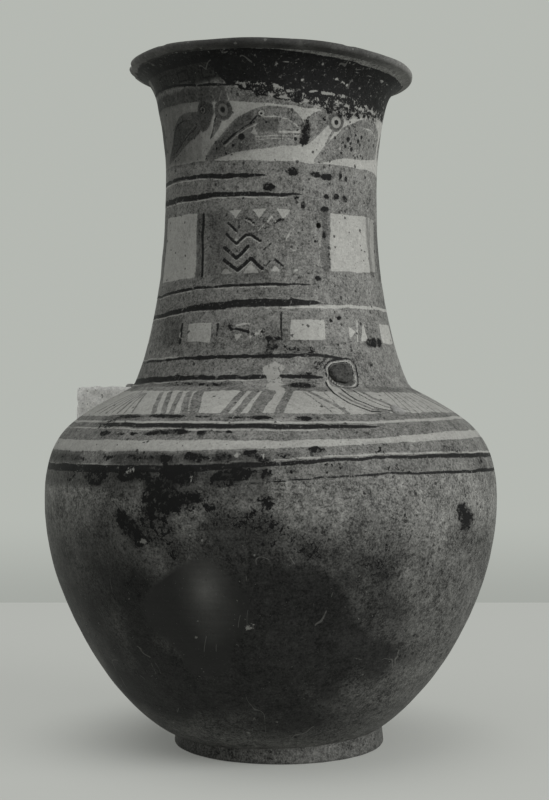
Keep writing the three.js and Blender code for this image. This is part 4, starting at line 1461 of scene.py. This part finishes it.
def burnished_clay(name, clay, paint):
    """Polished bare clay with fire clouds, scratches and soot."""
    material, n, shader = new_material(name)
    bare = n.group(bare_clay, Light_clay=clay.light, Dark_clay=clay.dark)
    grainy = n.minus(1.0, bare["Smooth"])
    soot = n.blotched("soot", Scatter=0.12, Film=0.55)
    dust = n.blotched("dust", Scatter=0.1, Seed=4.0)
    pepper = n.remap(n.noise(n.place(shift=7.0), 640, 3, 0.6, 0.2), 0.60, 0.68)
    dark_specks = n.group(specks, Scale=300.0, Size=0.34, Share=0.25)["Mask"]
    pale_specks = n.group(specks, Scale=260.0, Size=0.22, Share=0.07)["Mask"]
    scratches = n.group(hairlines, Scale=26.0, Width=0.003, Share=0.42)["Mask"]
    spots = n.larger(n.times(dark_specks, 0.7), n.times(pepper, 0.5))
    colour = n.cover(bare["Color"], paint.soot, n.times(spots, grainy))
    colour = n.cover(colour, paint.pale, pale_specks, 0.35)
    colour = n.cover(colour, paint.pale, scratches, 0.18)
    colour = n.cover(colour, paint.soot, n.times(soot, grainy))
    colour = n.cover(colour, paint.pale, dust, 0.5)
    height = n.scaled(dark_specks, -0.8, n.scaled(soot, 0.8, bare["Height"]))
    finish_surface(n, shader, colour, n.scaled(soot, 0.12, bare["Roughness"]), height, BURNISHED_RELIEF)
    return material


def plain_clay(name, colour, spot_colour, contrast, relief):
    """Unpainted clay of one colour with grain, stains and specks."""
    material, n, shader = new_material(name)
    grain = n.group(clay_grain, Contrast=contrast, Scrape=0.15)
    stain = n.remap(n.noise(n.place(), 110, 5, 0.65), 0.52, 0.72)
    spots = n.group(specks, Scale=420.0, Size=0.42, Share=0.3)["Mask"]
    # The cloud darkens the clay: painted shade on the lip, and an even darkening on the scars and nub
    colour = n.shaded(colour, n.times(grain["Shade"], n.scaled(n.painted("cloud"), -0.85, 1.0)))
    colour = n.cover(n.cover(colour, spot_colour, stain, 0.38), spot_colour, spots, 0.7)
    height = n.scaled(spots, -0.7, grain["Height"])
    finish_surface(n, shader, colour, n.scaled(stain, 0.08, 0.72), height, relief)
    return material


def finish_for(slot):
    """The finish of a material slot, made on first use from the scene's own colours."""
    clay, paint = bpy.context.scene.jar_clay, bpy.context.scene.jar_paint
    name = "fired_" + slot
    if name in bpy.data.materials:
        return bpy.data.materials[name]
    if slot == "painted_slip":
        return painted_clay(name, clay, paint)
    if slot == "burnished_clay":
        return burnished_clay(name, clay, paint)
    if slot == "pale_slip":
        return plain_clay(name, paint.lip, clay.light, 0.5, LIP_RELIEF)
    if slot == "bare_pale_clay":
        return plain_clay(name, clay.pale, clay.light, 0.35, LUG_RELIEF)
    return plain_clay(name, clay.broken, clay.dark, 1.3, BREAK_RELIEF)


# Settings


def colour_setting(name, description, default):
    """A colour that the user can change."""
    return bpy.props.FloatVectorProperty(
        name=name, description=description, default=default, subtype="COLOR", size=4, min=0, max=1)


def number_setting(name, description, default, most, **kind):
    """A number from 0 up that the user can change."""
    return bpy.props.FloatProperty(
        name=name, description=description, default=default, min=0, max=most, **kind)


def length_setting(name, description, default, most):
    """A length in metres that the user can change."""
    return number_setting(name, description, default, most, subtype="DISTANCE", unit="LENGTH", precision=5)


def share_setting(name, description, default, most=1):
    """A share that the user can change."""
    return number_setting(name, description, default, most, subtype="FACTOR")


def power_setting(name, description, default):
    """The power of a light that the user can change."""
    return number_setting(name, description, default, MOST_POWER, subtype="POWER", unit="POWER")


class JarForm(bpy.types.PropertyGroup):
    """How far the hand-built walls wander."""

    unevenness: length_setting("Unevenness", "How far the walls wander from true", 0.0004, 0.002)
    ripple: length_setting("Ripple", "Height of the marks left by scraping and smoothing", 0.00006, 0.0005)
    lip_waviness: length_setting("Lip waviness", "How far the lip wanders", 0.00016, 0.002)
    breakage: length_setting("Breakage", "Roughness of the broken handle and scars", 0.0004, 0.002)


class JarPaint(bpy.types.PropertyGroup):
    """Slips, paint and deposit."""

    pale: colour_setting("Pale slip", "Ground of the birds, panels and fringe", (0.36, 0.36, 0.335, 1))
    lip: colour_setting("Lip slip", "Slip on the lip", (0.21, 0.21, 0.198, 1))
    grey: colour_setting("Grey slip", "Main slip of the neck and shoulder", (0.160, 0.160, 0.150, 1))
    black: colour_setting("Black paint", "Lines and strokes", (0.007, 0.007, 0.007, 1))
    soot: colour_setting("Deposit", "Black deposit on the surface", (0.005, 0.005, 0.005, 1))
    raggedness: length_setting("Raggedness", "How far a painted edge breaks up", 0.0004, 0.002)
    wear: share_setting("Wear", "Share of the black paint that is lost in flakes", 0.8)
    scatter: share_setting("Scatter", "Deposit outside its main patches", 0.2)


class JarClay(bpy.types.PropertyGroup):
    """Colours of the fired clay."""

    light: colour_setting("Light clay", "Clay of the shoulder and upper belly", (0.175, 0.175, 0.164, 1))
    dark: colour_setting("Dark clay", "Clay darkened by the fire", (0.0172, 0.0172, 0.0164, 1))
    pale: colour_setting("Pale clay", "Bare clay of the handle lug", (0.90, 0.90, 0.86, 1))
    broken: colour_setting("Broken clay", "Core of the clay in the handle scar", (0.15, 0.15, 0.14, 1))


class JarStage(bpy.types.PropertyGroup):
    """Floor and light."""

    floor: colour_setting("Floor", "Colour of the floor", (0.66, 0.675, 0.64, 1))
    bright_floor: colour_setting("Bright floor", "Evenly lit part of the floor", (0.47, 0.483, 0.452, 1))
    backdrop: colour_setting("Backdrop", "Colour behind the jar", (0.465, 0.485, 0.45, 1))
    key: power_setting("Key light", "Power of the large light", 98)
    fill: power_setting("Fill light", "Power of the weak light", 3.6)
    top: power_setting("Top light", "Power of the light from above", 18)
    ambient: share_setting("Ambient light", "Light from all sides", 0.2, 2)


# Pieces


def wall_profile(low, high, step, inside_step):
    """Closed profile of the wall between two heights: up the outside and down the inside."""
    outer = stretch(OUTSIDE, at_height(OUTSIDE, low), at_height(OUTSIDE, high), step)
    inner = stretch(INSIDE, at_height(INSIDE, low), at_height(INSIDE, high), inside_step)
    return outer + inner[::-1]


def drilled(mesh):
    """The neck with its mend hole cut through the wall."""
    bm = bmesh.new()
    turn = math.radians(HOLE_TURN)
    way = Vector((math.sin(turn), -math.cos(turn), 0))
    place = Matrix.Translation(way * float(radius_at(HOLE_HEIGHT)) + Vector((0, 0, HOLE_HEIGHT)))
    aim = way.to_track_quat("Z", "Y").to_matrix().to_4x4()
    bmesh.ops.create_cone(bm, cap_ends=True, segments=HOLE_FACETS, radius1=HOLE_RADIUS, radius2=HOLE_RADIUS,
                          depth=WAIST_RADIUS / 2, matrix=place @ aim)
    drill = add_object("drill", mesh_from(bm, "drill"))
    wall = add_object("wall", mesh)
    cut = wall.modifiers.new("mend_hole", "BOOLEAN")
    cut.object = drill
    cut.operation = "DIFFERENCE"
    cut.solver = "EXACT"
    scene_now = bpy.context.evaluated_depsgraph_get()
    made = bpy.data.meshes.new_from_object(wall.evaluated_get(scene_now))
    for helper in (drill, wall):
        bpy.data.objects.remove(helper)
    return made


def build_wall(name, profile, facets, node, slot, paint):
    """A turned wall, leaned, painted and shaped by hand."""
    mesh = mesh_from(turned(profile, facets), name)
    lean(mesh)
    if node == "neck_wall":
        mesh = drilled(mesh)
    paint(mesh)
    shape_by_hand(mesh, bpy.context.scene.jar_form)
    return show(name, mesh, node, slot)


class JAR_OT_build_foot(bpy.types.Operator):
    """Builds the low foot ring under the belly"""

    bl_idname = "jar.build_foot"
    bl_label = "Foot ring"

    def execute(self, context):
        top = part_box("foot_ring")[1].z
        outer, inner = FOOT_OUTER_RADIUS, FOOT_OUTER_RADIUS - FOOT_BREADTH
        profile = [(outer - FOOT_TAPER, top), (inner, top), (inner, 0), (outer, 0)]
        bm = turned(profile, BODY_ROUND)
        rims = [e for e in bm.edges if all(v.co.z < SAME_POINT for v in e.verts)
                and abs(e.verts[0].co.xy.length - e.verts[1].co.xy.length) < SAME_POINT]
        round_edges(bm, rims, FOOT_EDGE, FOOT_SEGMENTS)
        bmesh.ops.translate(bm, verts=bm.verts, vec=(FOOT_OFFSET, 0, 0))
        mesh = mesh_from(bm, "foot")
        mark_clay(mesh)
        roughen(mesh, context.scene.jar_form.ripple, HAND_RIPPLE)
        keep_above(mesh, 0)
        show("turned_foot", mesh, "foot_ring", "burnished_clay")
        return {"FINISHED"}


class JAR_OT_build_body(bpy.types.Operator):
    """Builds the base, the lower wall and the belly"""

    bl_idname = "jar.build_body"
    bl_label = "Base and belly"

    def execute(self, context):
        edge_at = at_radius(INSIDE, BASE_RADIUS, 0, BELLY_HEIGHT)
        edge = stretch(INSIDE, edge_at, edge_at + INSIDE_STEP, INSIDE_STEP)[0]
        base = [(0, BASE_HEIGHT), (BASE_RADIUS / 2, BASE_HEIGHT), (BASE_RADIUS, BASE_HEIGHT), edge,
                (edge[0] / 2, edge[1]), (0, edge[1])]
        mesh = mesh_from(turned(base, BODY_ROUND, closed=False), "base")
        mark_clay(mesh)
        show("clay_base", mesh, "base_disc", "burnished_clay")
        outer = stretch(OUTSIDE, 0, at_height(OUTSIDE, BELLY_BAND_LOW), BODY_STEP)
        inner = stretch(INSIDE, edge_at, at_height(INSIDE, BELLY_BAND_LOW), INSIDE_STEP)
        lower = outer + inner[::-1]
        build_wall("burnished_lower_wall", lower, BODY_ROUND, "lower_wall", "burnished_clay", mark_clay)
        belly = wall_profile(BELLY_BAND_LOW, BELLY_BAND_HIGH, BODY_STEP, INSIDE_STEP)
        build_wall("burnished_belly", belly, BODY_ROUND, "belly_wall", "burnished_clay", mark_clay)
        return {"FINISHED"}


class JAR_OT_build_shoulder(bpy.types.Operator):
    """Builds the painted shoulder"""

    bl_idname = "jar.build_shoulder"
    bl_label = "Shoulder"

    def execute(self, context):
        profile = wall_profile(BELLY_BAND_HIGH, NECK_BASE_HEIGHT, SHOULDER_STEP, INSIDE_STEP)
        build_wall("painted_shoulder", profile, SHOULDER_ROUND, "shoulder_wall", "painted_slip", paint_vessel)
        return {"FINISHED"}


class JAR_OT_build_neck(bpy.types.Operator):
    """Builds the painted neck with its mend hole"""

    bl_idname = "jar.build_neck"
    bl_label = "Neck"

    def execute(self, context):
        profile = wall_profile(NECK_BASE_HEIGHT, RIM_SEAM, FINE_STEP, INSIDE_STEP)
        build_wall("painted_neck", profile, NECK_ROUND, "neck_wall", "painted_slip", paint_vessel)
        return {"FINISHED"}


class JAR_OT_build_rim(bpy.types.Operator):
    """Builds the flared rim and the rounded lip"""

    bl_idname = "jar.build_rim"
    bl_label = "Rim and lip"

    def execute(self, context):
        out_seam = at_radius(OUTSIDE, LIP_SEAM_RADIUS, RIM_SEAM, LIP_HEIGHT)
        in_seam = at_radius(INSIDE, LIP_SEAM_RADIUS, RIM_SEAM, LIP_HEIGHT)
        outer = stretch(OUTSIDE, at_height(OUTSIDE, RIM_SEAM), out_seam, FINE_STEP)
        inner = stretch(INSIDE, at_height(INSIDE, RIM_SEAM), in_seam, BODY_STEP)
        build_wall("painted_rim", outer + inner[::-1], RIM_ROUND, "rim_flare", "painted_slip", paint_vessel)
        under = stretch(OUTSIDE, out_seam, OUTSIDE[-1, 2], FINE_STEP)
        over = stretch(INSIDE, in_seam, INSIDE[-1, 2], FINE_STEP)
        edge = [tuple(LIP_CENTRE + heading(LIP_SLOPE - 90 + 180 * step / LIP_STEPS, LIP_WALL / 2))
                for step in range(1, LIP_STEPS)]
        profile = under + edge + over[::-1]
        lip = build_wall("slipped_lip", profile, RIM_ROUND, "lip_coil", "pale_slip", paint_lip)
        chip(lip.data, LIP_CHIPS)
        return {"FINISHED"}


class JAR_OT_build_handle(bpy.types.Operator):
    """Builds the broken handle lug and its nub"""

    bl_idname = "jar.build_handle"
    bl_label = "Broken handle"

    def execute(self, context):
        form = context.scene.jar_form
        turn = Matrix.Rotation(math.radians(STUMP_TURN - 90), 4, "Z")
        bm = bmesh.new()
        length = STUMP_FAR - STUMP_NEAR
        middle = Vector(((STUMP_NEAR + STUMP_FAR) / 2, 0, (STUMP_TOP + STUMP_BOTTOM) / 2))
        size = Matrix.Diagonal((length, STUMP_THICKNESS, STUMP_TOP - STUMP_BOTTOM, 1))
        bmesh.ops.create_cube(bm, size=1, matrix=Matrix.Translation(middle) @ size)
        round_edges(bm, bm.edges[:], STUMP_EDGE, EDGE_SEGMENTS)
        bmesh.ops.subdivide_edges(bm, edges=[e for e in bm.edges if e.calc_length() > STUMP_EDGE],
                                  cuts=LUG_CUTS, use_grid_fill=True)
        bmesh.ops.transform(bm, matrix=turn, verts=bm.verts)
        mesh = mesh_from(bm, "lug")
        points = points_of(mesh)
        radii = np.hypot(points[:, 0], points[:, 1])
        shoulder = OUTSIDE[(OUTSIDE[:, 1] >= BELLY_HEIGHT) & (OUTSIDE[:, 1] <= NECK_BASE_HEIGHT)][::-1]
        keep_above(mesh, np.interp(radii, shoulder[:, 0], shoulder[:, 1]) - STUMP_ROOT)
        roughen(mesh, form.breakage)
        show("handle_lug", mesh, "handle_stump", "bare_pale_clay")
        bm = bmesh.new()
        bmesh.ops.create_uvsphere(bm, u_segments=NUB_SEGMENTS, v_segments=NUB_RINGS, radius=1)
        flat = bmesh.ops.bisect_plane(bm, geom=bm.verts[:] + bm.edges[:] + bm.faces[:], plane_co=(0, 0, 0),
                                      plane_no=(0, 0, 1), clear_inner=True)
        rim = [part for part in flat["geom_cut"] if isinstance(part, bmesh.types.BMEdge)]
        bmesh.ops.contextual_create(bm, geom=rim)
        size = Matrix.Diagonal((NUB_RADIUS, NUB_RADIUS, NUB_HEIGHT, 1))
        place = Matrix.Translation((NUB_AT, 0, STUMP_TOP))
        bmesh.ops.transform(bm, matrix=turn @ place @ size, verts=bm.verts)
        mesh = mesh_from(bm, "nub")
        roughen(mesh, form.breakage / 2)
        soil(mesh)
        show("lug_nub", mesh, "stump_nub", "bare_pale_clay")
        return {"FINISHED"}


class JAR_OT_build_scars(bpy.types.Operator):
    """Builds the scars where the other handle broke away"""

    bl_idname = "jar.build_scars"
    bl_label = "Handle scars"

    def execute(self, context):
        self.scar("neck_break", NECK_SCAR, "neck_handle_scar", "broken_clay")
        self.scar("shoulder_break", SHOULDER_SCAR, "shoulder_handle_scar", "bare_pale_clay")
        return {"FINISHED"}

    def scar(self, name, place, node, slot):
        """A low round stump of broken clay, set on the wall and flattened up it."""
        turn, height, radius, proud, flat = place
        top = [(radius - SCAR_EDGE - step * SCAR_STEP, proud) for step in range(int(radius * SCAR_DENSITY))]
        profile = [(0, -SCAR_ROOT), (radius, -SCAR_ROOT), (radius, 0), (radius, proud - SCAR_EDGE),
                   *top, (0, proud)]
        bm = turned(profile, SCAR_ROUND, closed=False)
        bmesh.ops.scale(bm, vec=(flat, 1, 1), verts=bm.verts)
        tilt = Matrix.Rotation(math.pi - slope_at(height), 4, "Y")
        move = Matrix.Translation((float(radius_at(height)), 0, height))
        spin = Matrix.Rotation(math.radians(turn - 90), 4, "Z")
        bmesh.ops.transform(bm, matrix=spin @ move @ tilt, verts=bm.verts)
        mesh = mesh_from(bm, name)
        soil(mesh)
        roughen(mesh, bpy.context.scene.jar_form.breakage)
        show(name, mesh, node, slot)


# Floor, light and camera. Paper is the floor's evenly lit share, beside the foot and in the open
FLOOR_REACH = 0.62
OPEN_FLOOR = 0.17
PAPER_BY_FOOT = 0.28
PAPER_IN_OPEN = 0.74
FLOOR_ROUGHNESS = 0.9
FLOOR_GLOSS = 0.2
FLOOR_MOTTLE = 0.06
CAMERA_AT = (0, -0.870, 0.1977)
CAMERA_LENS = 65.25
CAMERA_SHIFT = (0.0044, 0.0125)
CAMERA_NEAREST = 0.01
FLOOR_DROP = 0.0002
LIGHTS = {"key": ((3.0, -1.8, 1.5), 2.6), "fill": ((-1.6, -2.4, 0.9), 1.6), "top": ((-0.6, -0.7, 2.4), 2.4)}
LIGHT_AIM = Vector((0, 0, 0.22))

# Painted shade on the backdrop: it darkens between two slopes of the view below level, down to a share of its
# strength
BACKDROP_SLOPES = (-0.07, -0.135)
BACKDROP_LOW = 0.8


def seen_directly(n):
    """One where the camera, a reflection or a clear piece looks straight at a surface."""
    path = n.add("ShaderNodeLightPath").outputs
    return n.larger(path["Is Camera Ray"], n.larger(path["Is Glossy Ray"], path["Is Transmission Ray"]))


class JAR_OT_set_stage(bpy.types.Operator):
    """Sets the floor, the backdrop, the lights and the camera"""

    bl_idname = "jar.set_stage"
    bl_label = "Floor, light and camera"

    def execute(self, context):
        stage = context.scene.jar_stage
        bm = bmesh.new()
        bmesh.ops.create_grid(bm, x_segments=FLOOR_CELLS, y_segments=FLOOR_CELLS, size=FLOOR_REACH)
        bmesh.ops.translate(bm, verts=bm.verts, vec=(0, 0, -FLOOR_DROP))
        mesh = bpy.data.meshes.new("floor")
        bm.to_mesh(mesh)
        bm.free()
        floor = add_object("floor", mesh)
        mesh.materials.append(self.floor_finish(stage))
        self.set_world(context, stage)
        for name, (place, size) in LIGHTS.items():
            self.add_light(name + "_light", place, size, getattr(stage, name))
        data = bpy.data.cameras.new("camera")
        data.lens = CAMERA_LENS
        data.shift_x, data.shift_y = CAMERA_SHIFT
        data.clip_start = CAMERA_NEAREST
        camera = add_object("camera", data)
        camera.location = CAMERA_AT
        camera.rotation_euler = (math.pi / 2, 0, 0)
        context.scene.camera = camera
        context.scene.view_settings.view_transform = "Standard"
        return {"FINISHED"}

    def floor_finish(self, stage):
        """Matt pale floor with a faint unevenness."""
        material, n, shader = new_material("pale_floor")
        shade = n.scaled(n.minus(n.noise(n.place(), 9, 3), 0.5), FLOOR_MOTTLE, 1.0)
        n.link(n.shaded(stage.floor, shade), shader["Base Color"])
        shader["Roughness"].default_value = FLOOR_ROUGHNESS
        shader["Specular IOR Level"].default_value = FLOOR_GLOSS
        away = n.add("ShaderNodeVectorMath", {0: n.place((1, 1, 0))}, operation="LENGTH").outputs["Value"]
        paper_share = n.remap(away, FOOT_OUTER_RADIUS, OPEN_FLOOR, PAPER_BY_FOOT, PAPER_IN_OPEN)
        share = n.times(paper_share, seen_directly(n))
        paper = n.add("ShaderNodeEmission", {"Color": stage.bright_floor, "Strength": 1.0}).outputs[0]
        surface = next(node for node in n.tree.nodes if node.type == "OUTPUT_MATERIAL").inputs["Surface"]
        lit = surface.links[0].from_socket
        n.link(n.add("ShaderNodeMixShader", {0: share, 1: lit, 2: paper}).outputs[0], surface)
        return material

    def set_world(self, context, stage):
        """Even light from all sides, and a pale background where the camera sees past the floor, with painted
        shade below level.
        """
        world = bpy.data.worlds.new("studio")
        world.use_nodes = True
        n = Nodes(world.node_tree)
        n.tree.nodes.clear()
        light = n.add("ShaderNodeBackground", {"Color": (1, 1, 1, 1), "Strength": stage.ambient})
        way = n.add("ShaderNodeSeparateXYZ", {"Vector": n.add("ShaderNodeTexCoord").outputs["Generated"]})
        # Painted shade: the backdrop is darker below level
        fade = n.remap(way.outputs["Z"], *BACKDROP_SLOPES, 1.0, BACKDROP_LOW)
        behind = n.add("ShaderNodeBackground", {"Color": stage.backdrop, "Strength": fade})
        mix = n.add("ShaderNodeMixShader", {0: seen_directly(n), 1: light.outputs[0], 2: behind.outputs[0]})
        n.add("ShaderNodeOutputWorld", {"Surface": mix.outputs[0]})
        context.scene.world = world

    def add_light(self, name, place, size, power):
        """A large soft light aimed at the jar."""
        data = bpy.data.lights.new(name, "AREA")
        data.shape = "DISK"
        data.size = size
        data.energy = power
        lamp = add_object(name, data)
        lamp.location = place
        lamp.rotation_euler = (LIGHT_AIM - Vector(place)).to_track_quat("-Z", "Y").to_euler()


OPERATORS = (
    JAR_OT_build_foot,
    JAR_OT_build_body,
    JAR_OT_build_shoulder,
    JAR_OT_build_neck,
    JAR_OT_build_rim,
    JAR_OT_build_handle,
    JAR_OT_build_scars,
    JAR_OT_set_stage,
)


class JAR_PT_pieces(bpy.types.Panel):
    """The jar's pieces and settings"""

    bl_label = "Painted jar"
    bl_idname = "JAR_PT_pieces"
    bl_space_type = "VIEW_3D"
    bl_region_type = "UI"
    bl_category = "Jar"

    def draw(self, context):
        for name in SETTINGS:
            group = getattr(context.scene, name)
            box = self.layout.box()
            for key in group.bl_rna.properties.keys():
                if key not in ("rna_type", "name"):
                    box.prop(group, key)
        for operator in OPERATORS:
            self.layout.operator(operator.bl_idname)


SETTINGS = {"jar_form": JarForm, "jar_paint": JarPaint, "jar_clay": JarClay, "jar_stage": JarStage}


def register():
    """Registers the settings, the operators and the panel."""
    for cls in (*SETTINGS.values(), *OPERATORS, JAR_PT_pieces):
        bpy.utils.register_class(cls)
    for name, cls in SETTINGS.items():
        setattr(bpy.types.Scene, name, bpy.props.PointerProperty(type=cls))


def unregister():
    """Takes the panel, the operators and the settings away."""
    for name in SETTINGS:
        delattr(bpy.types.Scene, name)
    for cls in reversed((*SETTINGS.values(), *OPERATORS, JAR_PT_pieces)):
        bpy.utils.unregister_class(cls)


def main():
    """Builds the whole jar and its stage."""
    register()
    bpy.ops.jar.build_foot()
    bpy.ops.jar.build_body()
    bpy.ops.jar.build_shoulder()
    bpy.ops.jar.build_neck()
    bpy.ops.jar.build_rim()
    bpy.ops.jar.build_handle()
    bpy.ops.jar.build_scars()
    bpy.ops.jar.set_stage()


if __name__ == "__main__":
    main()
